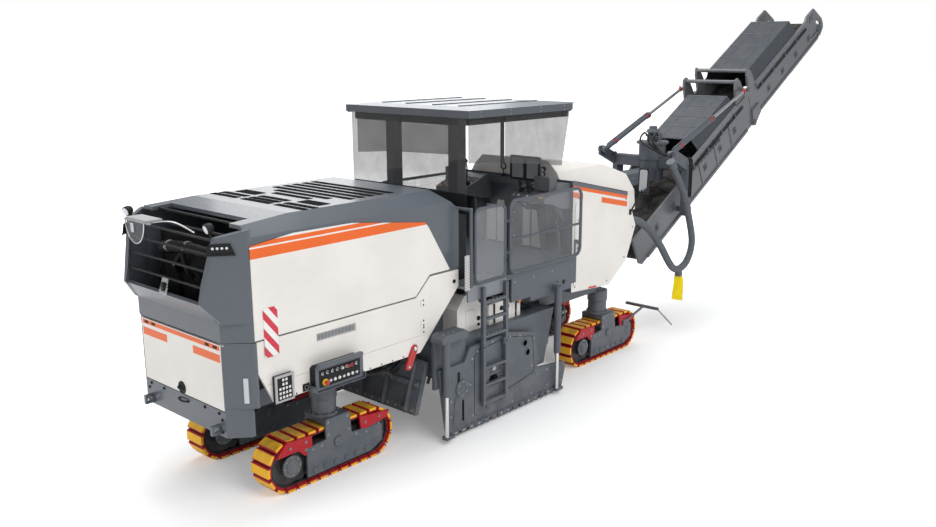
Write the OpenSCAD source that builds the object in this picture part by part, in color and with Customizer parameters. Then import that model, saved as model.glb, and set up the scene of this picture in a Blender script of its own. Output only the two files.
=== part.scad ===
// Tracked cold planer with a front loading folding conveyor.
// Millimetres, +X forward to the conveyor tip, +Y left, +Z up, ground at z = 0.

/* [Hood and body] */
// Half width of the tilting hood, without its side panels
hood_half = 1010; // [960:5:1020]
// Height of the seam under the tilting hood
seam_z = 1870; // [1850:5:1880]
// Top of the hood roof
hood_top = 3075; // [3040:5:3120]
// Thickness of the hood shell
shell_t = 40; // [24:2:46]
// Thickness of a hood side panel
panel_t = 12; // [8:1:20]
// Width of a roof louvre slot
slot_w = 55; // [40:5:70]
// Half width of the front body
front_half = 1050; // [900:5:1060]

/* [Tracks] */
// Distance between the two track centre lines
gauge = 1280; // [1200:5:1320]
// Distance between the front and rear steering columns
wheelbase = 5390; // [5300:10:6000]
// Overall length of one track
track_l = 1790; // [1700:10:1860]
// Overall height of one track
track_h = 610; // [580:5:620]
// Width of the track shoes
shoe_w = 300; // [260:5:300]
// Thickness of a shoe with its pad
shoe_t = 45; // [38:1:48]
// Shoes on one track
shoe_n = 28; // [24:1:30]
// Radius of a steering column
column_r = 140; // [120:5:150]

/* [Milling unit] */
// Radius over the pick tips
drum_r = 490; // [470:5:520]
// Length of the milling drum
drum_l = 2000; // [1800:10:2040]
// Picks on the drum
pick_n = 84; // [60:2:96]
// Thickness of a side plate
plate_t = 40; // [30:2:44]
// Radius of a side plate cylinder
ram_r = 48; // [42:1:54]

/* [Operator station] */
// Height of the walking deck
deck_z = 1880; // [1870:5:1900]
// Underside of the canopy roof
canopy_z = 3880; // [3760:10:3920]
// Radius of the railing tubes
rail_r = 21; // [16:1:24]
// Height of the railings above the deck
rail_h = 960; // [900:10:1000]
// Thickness of the canopy glass
glass_t = 6; // [4:1:10]

/* [Conveyor] */
// Angle of the conveyor above level
conv_a = 28.6; // [27:0.2:30]
// Length of the lower conveyor section
low_l = 4400; // [4200:10:4600]
// Length of the folding tip section
tip_l = 3520; // [3000:10:3700]
// Half width over the conveyor side plates
conv_half = 540; // [500:5:545]
// Depth of the conveyor side plates
conv_d = 740; // [700:5:760]
// Thickness of a conveyor side plate
conv_t = 40; // [20:2:44]
// Radius of the fold hinge pins
fold_r = 25; // [20:1:28]
// Bore radius of the lashing eyes
eye_r = 30; // [25:1:35]

/* [Hidden] */
$fn = 40;
// Gap between bodies that move past each other
gap = 6;
// Radial play of pins, shafts and rods
play = 0.08;
// Room in the rod eyes, whose straight follow leaves the true path by some millimetres
eye_play = 10;
// Play where curved faces seat
seat = 0.3;
tail_x = -750;
mid_x = 6660;
col_x = 590;
fx = col_x + wheelbase;
track_x = [col_x, fx];
conv_x = fx + 1420;
conv_z = 1100;
slew_x = fx + 2520;
boom_z = 2640;
drum_x = 3200;
drum_z = 620;
house_half = drum_l / 2 + 30;
house_t = 30;
house_top = 1220;
plate_y = house_half + 80;
ram_y = plate_y + plate_t + ram_r + 7;
deck_half = plate_y + 20;
rail_y = deck_half + 70;
hood_px = 2420;
hood_pz = 2920;
lift_u = 1387;
lift_w = 246;
fold_u = low_l + 9;
low_b = 60;
tip_b = 140;
fold_w = tip_b - 45;
eye_u = low_l - 220;
eye_w = 945;
hoop_w = 980;
ladder_x = [2680, 3110];
step_z = 1045;
guide_r = 25;
hand_x = 2475;
deck_x = fx - 1269;
frame_top = 1240;
dark = [0.28, 0.31, 0.34];
pale = [0.93, 0.91, 0.89];
steel = [0.62, 0.64, 0.66];
black = [0.08, 0.08, 0.09];
yellow = [0.95, 0.7, 0.1];

// Side outlines, seen from the right
front_pts = [[deck_x, 1334], [fx - 322, 1264], [fx + 128, 1561], [fx + 360, 2067], [fx + 126, 2545],
  [deck_x, 2851]];
band_pts = [[deck_x, 2851], [fx + 126, 2545], [fx + 126, 2600], [deck_x, 2911]];
cowl_pts = [[deck_x, 2500], [deck_x, 3160], [fx - 110, 3010], [fx + 340, 2830], [fx + 410, 2300],
  [fx + 200, 2300]];
hood_pts = [[-535, seam_z + gap], [1698, seam_z + gap], [1935, 2100], [2440, 2100], [2440, 2825],
  [2094, hood_top], [52, hood_top], [-535, hood_top - 40]];
hood_in = [[-700, 1700], [2440 - shell_t, 1700], [2440 - shell_t, 2803], [2089, hood_top - shell_t],
  [52, hood_top - shell_t], [-700, hood_top - shell_t - 52]];
tail_pts = [[-760, seam_z + gap], [-760, 2076], [-924, 2284], [-773, 2936], [-400, 3035], [-300, 3035],
  [-300, seam_z + gap]];

module place() {
  translate([-mid_x, 0, 0]) children();
}

module both() {
  children();
  mirror([0, 1, 0]) children();
}

module box(x0, x1, y0, y1, z0, z1) {
  translate([x0, y0, z0]) cube([x1 - x0, y1 - y0, z1 - z0]);
}

// Plate standing in the XZ plane between two Y values
module side(pts, y0, y1) {
  translate([0, y1, 0]) rotate([90, 0, 0]) linear_extrude(y1 - y0) polygon(pts);
}

// Plan outline raised between two heights
module plan(pts, z0, z1) {
  translate([0, 0, z0]) linear_extrude(z1 - z0) polygon(pts);
}

// Cross section in the YZ plane drawn along X
module along(pts, x0, x1) {
  translate([x0, 0, 0]) rotate([90, 0, 90]) linear_extrude(x1 - x0) polygon(pts);
}

// Round bar along Y
module bar(x, z, r, y0, y1) {
  translate([x, y0, z]) rotate([-90, 0, 0]) cylinder(r = r, h = y1 - y0);
}

// Upright round bar
module post(x, y, r, z0, z1) {
  translate([x, y, z0]) cylinder(r = r, h = z1 - z0);
}

// Round rod between two points
module rod(p, q, r) {
  d = q - p;
  l = norm(d);
  translate(p) rotate([0, acos(d[2] / l), atan2(d[1], d[0])]) cylinder(r = r, h = l);
}

// Upright rectangular tube frame with rounded corners, standing at one Y
module frame_tube(x0, x1, z0, z1, y, r, bend) {
  for (z = [z0, z1]) rod([x0 + bend, y, z], [x1 - bend, y, z], r);
  for (x = [x0, x1]) post(x, y, r, z0 + bend, z1 - bend);
  for (c = [[x0 + bend, z0 + bend, 180], [x1 - bend, z0 + bend, 270], [x1 - bend, z1 - bend, 0],
      [x0 + bend, z1 - bend, 90]])
    translate([c[0], y, c[1]]) rotate([90, 0, 0]) rotate(c[2]) rotate_extrude(angle = 90) translate([bend, 0])
      circle(r);
}

// Conveyor coordinates: x along the belt, z square to it
module conv() {
  translate([conv_x, 0, conv_z]) rotate([0, -conv_a, 0]) children();
}

module main_frame() place() color(dark) difference() {
  frame_body();
  both() bar(fx - 20, 1150, eye_r, 600, 700);
  for (x = track_x) for (s = [-1, 1]) post(x, s * gauge / 2, 60 + play, 890, 1010);
}

module frame_body() {
  both() box(fx - 100, fx + 40, 630, 670, 1090, 1210);
  box(-640, 1960, -700, 700, 1050, frame_top);
  box(1960, 4440, -700, 700, house_top, 1420);
  box(4440, fx - 80, -700, 700, 1060, 1255);
  side([[front_pts[0][0], 1250], [front_pts[1][0], 1250], front_pts[1], front_pts[0]], -700, 700);
  for (x = track_x) for (s = [-1, 1]) post(x, s * gauge / 2, column_r + 12, 905, 1062);
  both() post(1880, 600, guide_r, 300, 1060);
}

module engine() place() color(black) {
  box(250, 1650, -480, 480, frame_top, 1900);
  box(350, 1550, -300, 300, 1900, 2150);
  both() bar(950, 2150, 110, 120, 380);
}

module radiator() place() color(black) {
  box(-480, -200, -690, 690, frame_top, 2780);
  for (y = [-460, 0, 460]) translate([-480, y, 2250]) rotate([0, -90, 0]) cylinder(r = 200, h = 60);
}

// Corner plates and apron round the tail flap
module rear_shell() place() color(dark) difference() {
  union() {
    both() plan([[tail_x, 775], [tail_x + 40, 775], [-500, 975], [-500, 1015], [-535, 1015]], 1190, seam_z);
    both() plan([[tail_x, 775], [tail_x + 40, 775], [-520, 900], [-520, 940], [-560, 940]], 870, 1190);
    box(tail_x, tail_x + 40, seat - 775, 775 - seat, 870, 1145);
    box(tail_x + 40, -640, -700, 700, 1050, 1145);
    both() box(tail_x + 36, -640, 640, 700, 1145, seam_z - 5);
    both() box(tail_x - 100, tail_x + 20, 630, 670, 890, 990);
  }
  both() bar(tail_x - 50, 940, eye_r, 600, 700);
  both() bar(tail_x + 15, 1845, 10 + play, 770, 830);
}

// Lower white side panels with their lid recess and crease
module side_panels() place() color(pale) both() difference() {
  side([[-500, 1540], [-326, 1195], [1757, 1195], [2427, 1877], [2427, 2085], [1940, 2085], [1705, seam_z],
    [-500, seam_z]], 980, 1015);
  box(240, 780, 1003, 1020, 1697, 1785);
  box(-400, 1930, 1010, 1020, 1398, 1404);
  for (z = [1425, 1510, 1755]) box(1768, 1780, 1008, 1020, z, z + 75);
}

// Open bottomed box round the milling drum
module drum_housing() place() color(dark) {
  both() difference() {
    side([[2330, 470], [4090, 470], [4300, house_top], [1980, house_top]], house_half, house_half + house_t);
    bar(drum_x, drum_z, 90 + play, house_half - 10, house_half + 40);
  }
  box(1980, 4300, -house_half, house_half, house_top - 30, house_top);
  side([[2060, 800], [2100, 800], [2020, 1190], [1980, 1190]], -house_half, house_half);
  side([[4180, 700], [4220, 700], [4300, 1190], [4260, 1190]], -house_half, house_half);
  both() side([[1900, 700], [2450, 700], [2450, 1250], [2340, 1300], [1900, 1300]], house_half + house_t,
    plate_y - gap);
  both() side([[1890, 1300], [2340, 1300], [2340, 1370], [2300, 1400], [1930, 1400], [1890, 1360]],
    house_half + house_t, ram_y + ram_r);
}

// Walking deck with its skirts, mid box and hood hinge posts
module deck() place() color(dark) {
  box(3140, deck_x, -deck_half, deck_half, deck_z - 70, deck_z);
  box(2480, 3140, -760, 760, deck_z - 70, deck_z);
  both() box(3300, deck_x, deck_half - 40, deck_half, 1500, deck_z - 70);
  box(2600, 4600, -700, 700, 1420, deck_z - 70);
  both() box(3700, 4600, 690, deck_half, 1440, 1505);
  both() side([[2450, deck_z - 70], [2500, deck_z - 70], [2500, hood_pz + 32], [hood_px - 26, hood_pz + 32],
    [hood_px - 26, hood_pz - 32], [2450, hood_pz - 60]], 364, 394);
  both() bar(hood_px, hood_pz, 20, 300, 366);
}

// Step grating beside the deck, outside the gates
module grating() place() color(steel) both() difference() {
  union() {
    box(2430, 3140, 760, deck_half + 40, deck_z - 40, deck_z - 5);
    box(2430, 3140, deck_half + 15, deck_half + 40, deck_z - 190, deck_z - 40);
  }
  for (i = [0:9]) for (j = [0:4]) translate([2480 + 68 * i, 805 + 75 * j, deck_z - 50])
    cylinder(r = 26, h = 60, $fn = 8);
}

// Desks, control stands and screens
module consoles() place() color(black) {
  both() side([[4130, 2660], [4130, 2720], [deck_x - 150, 2880], [deck_x, 2880], [deck_x, 2520], [4480, 2560],
    [4300, 2640]], 420, 1000);
  both() side([[deck_x - 60, deck_z], [deck_x, deck_z], [deck_x, 2530], [deck_x - 200, 2570]], 560, 590);
  both() side([[deck_x - 60, deck_z], [deck_x, deck_z], [deck_x, 2530], [deck_x - 200, 2570]], 860, 890);
  box(deck_x - 60, deck_x, -420, 420, 2780, 2880);
  both() box(deck_x - 420, deck_x - 260, 700, 960, 2800, 2990);
  for (y = [-340, -600]) box(deck_x - 330, deck_x - 290, y - 118, y + 118, 2920, 3230);
  box(deck_x - 325, deck_x - 295, -720, -220, 2885, 2925);
  box(deck_x - 325, deck_x - 295, -560, -480, 2780, 2890);
}

// White tanks behind the ladders
module side_tanks() place() color(pale) both() {
  side([[2470, house_top], [2960, house_top], [2960, 1480], [2760, 1700], [2600, 1700], [2470, 1540]], 702, 950);
  side([[3050, house_top], [3690, house_top], [3690, 1450], [3650, 1490], [3050, 1490]], 702, 960);
}

// Rails in front of the gates
module railings() place() color(dark) both() {
  frame_tube(3180, deck_x - 21, deck_z + 40, deck_z + rail_h, rail_y, rail_r, 110);
  rod([3180, rail_y, deck_z + 470], [deck_x - 21, rail_y, deck_z + 470], rail_r - 4);
  for (x = [3180, deck_x - 21]) box(x - 15, x + 15, deck_half, rail_y, deck_z + 180, deck_z + 230);
  for (x = [3180, deck_x - 21]) box(x - 15, x + 15, deck_half - 25, deck_half, deck_z, deck_z + 230);
  post(hand_x, rail_y - 20, rail_r, deck_z - 5, deck_z + rail_h);
  rod([hand_x, rail_y - 20, deck_z + rail_h - rail_r], [hand_x, 900, deck_z + rail_h - rail_r], rail_r);
  post(hand_x, 900, rail_r, deck_z - 5, deck_z + rail_h);
}

module canopy_posts() place() color(black) {
  box(2620, 2770, -830, -680, deck_z, canopy_z);
  box(3000, 3150, 680, 830, deck_z, canopy_z);
  both() box(3250, 3310, 975, 990, 3290, canopy_z);
  both() box(2600, 4640, 940, 990, canopy_z - 90, canopy_z);
  box(2552 + glass_t, 2600, -930, 930, canopy_z - 90, canopy_z);
}

// Wedge shaped roof with a thin rim
module canopy_roof() place() color(dark) {
  plan([[2540, -1098], [4578, -1098], [4790, -960], [4790, 960], [4578, 1098], [2540, 1098]], canopy_z,
    canopy_z + 90);
  intersection() {
    side([[2560, canopy_z + 90], [4770, canopy_z + 90], [4400, canopy_z + 118], [2760, canopy_z + 118]], -1090, 1090);
    along([[-1080, canopy_z + 90], [-820, canopy_z + 118], [820, canopy_z + 118], [1080, canopy_z + 90]], 2540, 4790);
  }
}

// Rear pane and two panes on each side
module canopy_glass() place() color(steel) {
  box(2552, 2552 + glass_t, -1030, 1000, 2980, canopy_z);
  both() side([[2640, 3340], [3240, 3300], [3240, canopy_z], [2640, canopy_z]], 990, 990 + glass_t);
  both() side([[3320, 3290], [4510, 3140], [4670, canopy_z], [3320, canopy_z]], 990, 990 + glass_t);
}

// Front body with the hose gland
module front_body() place() color(pale) {
  side(front_pts, -front_half, front_half);
  rod(hose_pts[0] - hose_dir(0) * 150, hose_pts[0] - hose_dir(0) * seat, hose_r + 14);
}

module front_band() place() color(dark) side(band_pts, -front_half + 8, front_half - 8);

// Sloped cover over the front body
module front_cowl() place() color(pale) difference() {
  intersection() {
    side(cowl_pts, -front_half, front_half);
    along([[-1000, 2200], [-1000, 2600], [-760, 3010], [-560, 3200], [560, 3200], [760, 3010], [1000, 2600],
      [1000, 2200]], fx - 1300, fx + 500);
  }
  side(front_pts, -front_half, front_half);
  side(band_pts, -front_half, front_half);
}

// Boom that carries the slewing conveyor
module slew_boom() place() color(dark) {
  difference() {
    side([[fx + 20, 1600], [fx + 560, 1600], [fx + 700, 2000], [fx + 820, boom_z - 240], [fx + 820, boom_z],
      [fx + 420, boom_z + 130], [fx + 20, boom_z + 130]], -300, 300);
    side(front_pts, -front_half, front_half);
    side(cowl_pts, -front_half, front_half);
  }
  side([[fx + 800, boom_z - 240], [slew_x, boom_z - 170], [slew_x, boom_z], [fx + 800, boom_z]], -170, 170);
  post(slew_x, 0, 200, boom_z - 200, boom_z + 150);
  post(slew_x, 0, 80, boom_z + 150, boom_z + 260);
}

module ladder() place() color(dark) both() {
  y0 = deck_half + 40;
  for (x = ladder_x) box(x - 25, x + 25, y0, y0 + 50, step_z + 35, deck_z - 45);
  for (z = [1200, 1420, 1640]) box(ladder_x[0] + 25, ladder_x[1] - 25, y0, y0 + 50, z - 15, z + 15);
  for (k = [0, 1]) translate([ladder_x[k], 0, 0]) mirror([k, 0, 0]) difference() {
    box(20, 47, y0 + 5, y0 + 45, step_z - 25, step_z + 65);
    rod([0, y0 + 25, step_z], [60, y0 + 25, step_z], 10 + play);
    box(-30, 27, y0, y0 + 60, step_z - 40, step_z + 34);
  }
}

// Ground level control box and the small meter box beside it
module control_box() place() color(black) {
  side([[130, 1240], [160, 1215], [730, 1215], [760, 1240], [760, 1440], [730, 1460], [160, 1460], [130, 1440]],
    -1120, -1015);
  box(-340, -115, -1060, -1015, 1196, 1475);
  for (i = [0:5]) bar(200 + 95 * i, 1390, 18, -1138, -1119);
  for (i = [0:4]) box(215 + 100 * i, 255 + 100 * i, -1130, -1119, 1270, 1310);
}

module plate_barrels() place() color(dark) both() for (x = [2000, 4200]) {
  difference() {
    post(x, ram_y, ram_r, 620, x < drum_x ? 1300 : 1560);
    post(x, ram_y, ram_r - 22 + play, 610, 1270);
  }
  if (x > drum_x) box(x - 40, x + 40, deck_half, ram_y - ram_r + 15, 1505, 1560);
}

// Strip lamps on the rear corners and the lamp arms above the opening
module rear_lamps() place() color(steel) both() {
  translate([-600, 942, 1250]) rotate(atan2(240, 215)) box(-24, 24, seat, 14, 0, 260);
}

module mirrors() place() color(black) both() {
  box(fx + 170, fx + 210, front_half, front_half + 20, 2250, 2330);
  rod([fx + 190, front_half + 12, 2290], [fx + 395, 1130, 2620], 12);
  side([[fx + 380, 2560], [fx + 420, 2540], [fx + 430, 2900], [fx + 400, 2930]], 1060, 1220);
}

module tail_flap() place() color(pale) {
  box(tail_x, tail_x + 30, -760, 760, 1155, 1845);
  both() bar(tail_x + 15, 1845, 10, 740, 786);
}

function section(h, top, t) = [[-h + t, 1700], [-h + t, top - 150 - t * 0.4], [-h + 150 + t * 0.4, top - t],
  [h - 150 - t * 0.4, top - t], [h - t, top - 150 - t * 0.4], [h - t, 1700]];

module hood_shell() place() color(dark) {
  difference() {
    intersection() {
      along(section(hood_half, hood_top, 0), -535, 2440);
      side(hood_pts, -1100, 1100);
    }
    intersection() {
      along(section(hood_half, hood_top, shell_t), -700, 2440);
      side(hood_in, -1100, 1100);
    }
    box(-600, -312, -720, 720, 2850, 3100);
    roof_slots();
  }
  both() intersection() {
    union() {
      plan([[-535, hood_half], [-930, 736], [-930, 700], [-880, 700], [-500, 964], [-500, hood_half]], 2076, 3100);
      plan([[-535, hood_half], [-760, 783], [-760, 740], [-720, 740], [-500, 964], [-500, hood_half]], 1800, 2100);
    }
    side(tail_pts, 0, 1100);
  }
  side([[-912, 2280], [-760, 2076], [-760, seam_z + gap], [-720, seam_z + gap], [-720, 2076], [-862, 2290]], -745, 745);
  both() difference() {
    side([[hood_px - 42, 2845], [2440, 2812], [2440, hood_pz - 10], [hood_px + 20, hood_pz + 34],
      [hood_px - 30, hood_pz + 34]], 300, 358);
    bar(hood_px, hood_pz, 20 + play, 290, 370);
  }
}

// Louvre slots and the two square outlets in the roof
module roof_slots() {
  for (i = [0:6]) let (x = 740 + 145 * i, h = i == 0 ? 320 : i == 1 ? 480 : 700)
    box(x, x + slot_w, -h, h, 2950, 3100);
  both() for (x = [270, 395]) box(x, x + slot_w, 360, 850, 2950, 3100);
  for (x = [270, 380, 500]) box(x, x + slot_w, -250, 250, 2950, 3100);
  both() box(540, 700, 390, 760, 2950, 3100);
}

module hood_panels() place() color(pale) both() {
  side([[-520, 1890], [1690, 1890], [1925, 2112], [2270, 2112], [1915, 2683], [1863, 2740], [770, 2889], [0, 2898], [-520, 2840]],
    hood_half, hood_half + panel_t);
}

function tail_in(x) = x < -880 ? 700 : 700 + (x + 880) * 264 / 380;

// Cross bars of the rear opening
module hood_grille() place() color(black) {
  for (p = [[-862, 2440], [-825, 2600], [-788, 2760], [-752, 2900]])
    box(p[0] - 9, p[0] + 9, -tail_in(p[0] - 9), tail_in(p[0] - 9), p[1] - 9, p[1] + 9);
  box(-470, -450, -720, 720, hood_top - 70, hood_top - 50);
  box(-640, -620, -tail_in(-640), tail_in(-640), 2925, 2945);
}

module hazard_plates() place() color(pale) both() {
  box(-415, -245, hood_half + panel_t, hood_half + panel_t + 6, 1690, 2200);
}

module drum() place() color(steel) {
  bar(drum_x, drum_z, drum_r - 90, -drum_l / 2, drum_l / 2);
  bar(drum_x, drum_z, 90, -house_half - house_t, house_half + house_t);
  for (i = [0:pick_n - 1])
    translate([drum_x, (i + 0.5) * (drum_l - 44) / pick_n - drum_l / 2 + 22, drum_z]) rotate([0, i * 137.5, 0])
      translate([0, 0, drum_r - 95]) cylinder(r = 22, h = 95, $fn = 6);
}

// Scraper blade behind the drum, on two guide rods
module scraper() place() color(dark) difference() {
  union() {
    side([[1700, 400], [1760, 390], [1960, 1010], [1900, 1030]], -drum_l / 2 + 40, drum_l / 2 - 40);
    both() box(1835, 1925, 555, 645, 850, 1010);
  }
  both() post(1880, 600, guide_r + play, 350, 1150);
}

module plate_body() {
  difference() {
    side([[2070, 30], [4380, 30], [4470, 330], [4440, 420], [3840, 480], [3790, 1000], [3220, 1130], [2480, 1100],
      [2380, 940], [1930, 940]], plate_y, plate_y + plate_t);
    side([[2250, 200], [2300, 200], [2300, 840], [2250, 840]], plate_y - 5, plate_y + plate_t + 5);
    for (p = [[3560, 900], [3620, 760]]) bar(p[0], p[1], 38, plate_y - 5, plate_y + plate_t + 5);
  }
  for (x = [2000, 4200]) {
    post(x, ram_y, ram_r - 22, 100, 900);
    box(x - 30, x + 120, plate_y + plate_t, ram_y + 25, 60, 100);
  }
  for (i = [0:15]) box(2560 + 112 * i, 2610 + 112 * i, plate_y + plate_t, plate_y + plate_t + 14, 30, 110);
  box(2500, 4350, plate_y + plate_t, plate_y + plate_t + 6, 110, 125);
}

module side_plate_r() place() color(dark) mirror([0, 1, 0]) plate_body();

module side_plate_l() place() color(dark) plate_body();

module step_body() {
  y0 = deck_half + 40;
  for (x = ladder_x) box(x - 25, x + 25, y0, y0 + 50, 300, step_z);
  for (z = [330, 560, 790]) box(ladder_x[0] + 25, ladder_x[1] - 25, y0, y0 + 50, z - 15, z + 15);
  for (k = [0, 1]) translate([ladder_x[k], y0 + 25, 0]) mirror([k, 0, 0]) {
    rod([-20, 0, step_z], [46, 0, step_z], 10);
    rod([-20, 0, step_z], [25, 0, step_z], 22);
  }
}

module step_r() place() color(dark) mirror([0, 1, 0]) step_body();

module step_l() place() color(dark) step_body();

// Gate with a clear panel in its frame
module gate_body() {
  frame_tube(2530, 3085, deck_z + 30, deck_z + rail_h - 20, rail_y, 17, 90);
  box(2540, 3075, rail_y - 4, rail_y + 4, deck_z + 40, deck_z + rail_h - 30);
  for (z = [deck_z + 320, deck_z + 720]) difference() {
    union() {
      rod([3085, rail_y, z], [3180, rail_y, z], 12);
      post(3180, rail_y, 36, z - 30, z + 30);
    }
    post(3180, rail_y, rail_r + play, z - 40, z + 40);
  }
}

module gate_r() place() color(dark) mirror([0, 1, 0]) gate_body();

module gate_l() place() color(dark) gate_body();

// One track frame with its saddle, guards, wheels and steering tube
module truck(x, y) {
  l = track_l - track_h;
  r_in = track_h / 2 - shoe_t - 30;
  translate([x, y, 0]) {
    box(-l / 2 + 20, l / 2 - 20, -110, 110, 130, 460);
    for (s = [-1, 1]) bar(s * l / 2, track_h / 2, r_in - seat, -100, 100);
    for (s = [-1, 1]) bar(s * l / 2, track_h / 2, 120, -160, 160);
    for (i = [-3:3]) bar(i * 150, track_h / 2 - r_in + 62 + seat, 62, -100, 100);
    both() side([[-l / 2 + 190, 110], [l / 2 - 60, 120], [l / 2 + 110, 200], [l / 2 + 110, 400], [240, 440],
      [215, 700], [-130, 700], [-130, 470], [-l / 2 + 190, 450]], shoe_w / 2 + gap, shoe_w / 2 + 36);
    box(-130, 215, -shoe_w / 2 - gap, shoe_w / 2 + gap, 200, 440);
    box(-130, 215, -shoe_w / 2 - gap, shoe_w / 2 + gap, track_h + 20, 700);
    both() side([[-l / 2 - 200, 455], [-l / 2 - 60, 600], [-l / 2 + 265, 575], [-l / 2 + 265, 365],
      [-l / 2 + 165, 385], [-l / 2 + 80, 465]], shoe_w / 2 + gap, shoe_w / 2 + 30);
    both() side([[l / 2 - 220, 575], [l / 2 + 230, 530], [l / 2 + 190, 460], [l / 2 - 90, 425], [l / 2 - 110, 350],
      [l / 2 - 195, 350]], shoe_w / 2 + gap, shoe_w / 2 + 30);
    post(0, 0, column_r, 700, 899);
    post(0, 0, 60, 899, 1000);
  }
}

// Closed loop of shoes
module track(x, y) {
  l = track_l - track_h;
  r = track_h / 2;
  per = 2 * l + 2 * PI * (r - 20);
  translate([x, y, r]) {
    difference() {
      loop(l, r - shoe_t + 8, shoe_w - 60);
      loop(l, r - shoe_t - 30, shoe_w);
    }
    for (i = [0:shoe_n - 1]) shoe(i * per / shoe_n, l, r);
  }
}

module loop(l, r, w) {
  for (s = [-1, 1]) bar(s * l / 2, 0, r, -w / 2, w / 2);
  box(-l / 2, l / 2, -w / 2, w / 2, -r, r);
}

// One shoe a given way along the loop
module shoe(d, l, r) {
  arc = PI * (r - 20);
  if (d < l) translate([d - l / 2, 0, 0]) pad(r);
  else if (d < l + arc) translate([l / 2, 0, 0]) rotate([0, (d - l) / arc * 180, 0]) pad(r);
  else if (d < 2 * l + arc) translate([l / 2 - (d - l - arc), 0, 0]) rotate([0, 180, 0]) pad(r);
  else translate([-l / 2, 0, 0]) rotate([0, 180 + (d - 2 * l - arc) / arc * 180, 0]) pad(r);
}

module pad(r) {
  side([[-68, r - shoe_t], [68, r - shoe_t], [68, r - 18], [56, r], [-56, r], [-68, r - 18]], -shoe_w / 2, shoe_w / 2);
}

module truck_rr() place() color(dark) truck(track_x[0], -gauge / 2);
module truck_rl() place() color(dark) truck(track_x[0], gauge / 2);
module truck_fr() place() color(dark) {
  truck(track_x[1], -gauge / 2);
  sight_arm();
}

// Arm with a cross bar and a pointer, ahead of the front right track
module sight_arm() {
  y = -gauge / 2 - shoe_w / 2 - 46;
  x = fx + track_l / 2 + 150;
  rod([fx + 520, y, 470], [x, y, 605], 18);
  box(fx + 440, fx + 600, y - 18, y + 22, 420, 500);
  box(x - 20, x + 20, -1110, -510, 585, 625);
  rod([x, -1095, 600], [x + 250, -1225, 310], 9);
}

module truck_fl() place() color(dark) truck(track_x[1], gauge / 2);
module track_rr() place() color(yellow) track(track_x[0], -gauge / 2);
module track_rl() place() color(yellow) track(track_x[0], gauge / 2);
module track_fr() place() color(yellow) track(track_x[1], -gauge / 2);
module track_fl() place() color(yellow) track(track_x[1], gauge / 2);

// Hub, cross beam, legs and ram brackets of the slewing frame
module slew_frame() place() color(dark) {
  hub = boom_z + 150 + gap;
  difference() {
    union() {
      post(slew_x, 0, 230, hub, hub + 270);
      post(slew_x, 0, 275, hub + 270, hub + 305);
      box(slew_x - 100, slew_x + 100, -740, 740, boom_z + 20, boom_z + 200);
    }
    post(slew_x, 0, 200 + gap, boom_z, hub);
    post(slew_x, 0, 80 + play, hub - 10, boom_z + 265);
  }
  post(slew_x, 0, 90, hub + 305, hub + 460);
  both() side([[slew_x - 100, boom_z + 200], [slew_x - 100, 2100], [slew_x - 70, 1880], [slew_x + 70, 1880],
    [slew_x + 100, 2100], [slew_x + 100, boom_z + 200]], conv_half + 100, conv_half + 200);
  both() side([[lift_b[0] - 60, boom_z + 230], [slew_x - 100, boom_z + 30], [slew_x, boom_z + 30], [slew_x, boom_z + 190],
    [lift_b[0] + 60, boom_z + 380], [lift_b[0] - 60, boom_z + 380]], conv_half + 160, conv_half + 200);
  both() bar(lift_b[0], lift_b[1], 30, conv_half + 50, conv_half + 165);
  both() conv() bar(lift_u, lift_w, 45, conv_half - conv_t / 2, conv_half + 105);
  gland = hose_pts[hose_n - 1] + hose_dir(hose_n - 1) * seat;
  rod(gland, gland + hose_dir(hose_n - 1) * 140, hose_r + 14);
  rod(gland + hose_dir(hose_n - 1) * 112, [lift_b[0], -conv_half - 180, boom_z + 290], 24);
}

// Lower conveyor section
module conveyor_frame() place() color(steel) conv() {
  both() difference() {
    side([[0, low_b + 60], [60, low_b], [low_l, low_b], [low_l, conv_d], [1900, conv_d], [1600, 600], [0, 600]],
      conv_half - conv_t, conv_half);
    bar(lift_u, lift_w, 45 + play, conv_half - conv_t - 1, conv_half + 1);
  }
  both() side([[1900, conv_d - 60], [low_l, conv_d - 60], [low_l, conv_d], [1900, conv_d]], conv_half, conv_half + 22);
  both() side([[250, low_b], [low_l - 260, low_b], [low_l - 260, low_b + 50], [250, low_b + 50]], conv_half,
    conv_half + 22);
  both() for (u = [2300, 2900, 3500]) side([[u, low_b + 50], [u + 45, low_b + 50], [u + 45, conv_d - 60],
    [u, conv_d - 60]], conv_half, conv_half + 14);
  for (u = [900, 2200, 3500]) bar(u, 215, 40, -conv_half + conv_t, conv_half - conv_t);
  both() side([[low_l - 470, conv_d], [low_l - 110, conv_d], [low_l - 170, hoop_w + 90], [low_l - 240, hoop_w + 200],
    [low_l - 340, hoop_w + 200], [low_l - 400, hoop_w + 60]], conv_half - conv_t, conv_half);
  bar(low_l - 290, hoop_w + 150, 35, -conv_half + conv_t, conv_half - conv_t);
  both() bar(eye_u, eye_w, 30, conv_half, conv_half + 150);
  both() bar(fold_u, fold_w, 38, conv_half - conv_t, conv_half - gap);
  both() bar(fold_u, fold_w, fold_r, conv_half - 10, conv_half + 36);
}

module conveyor_belt() place() color(black) conv() {
  inner = conv_half - conv_t;
  box(170, low_l, -480, 480, 392, 410);
  box(170, low_l, -480, 480, low_b + 20, low_b + 38);
  bar(200, low_b + 185, 165, -480, 480);
  bar(200, low_b + 185, 45, -inner, inner);
  for (u = [700, 1300, 1900, 2500, 3100, 3700, low_l - 150]) bar(u, 350, 48, -inner, inner);
  for (u = [1200, 2500, 3700]) bar(u, low_b + 78, 45, -inner, inner);
}

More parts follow.
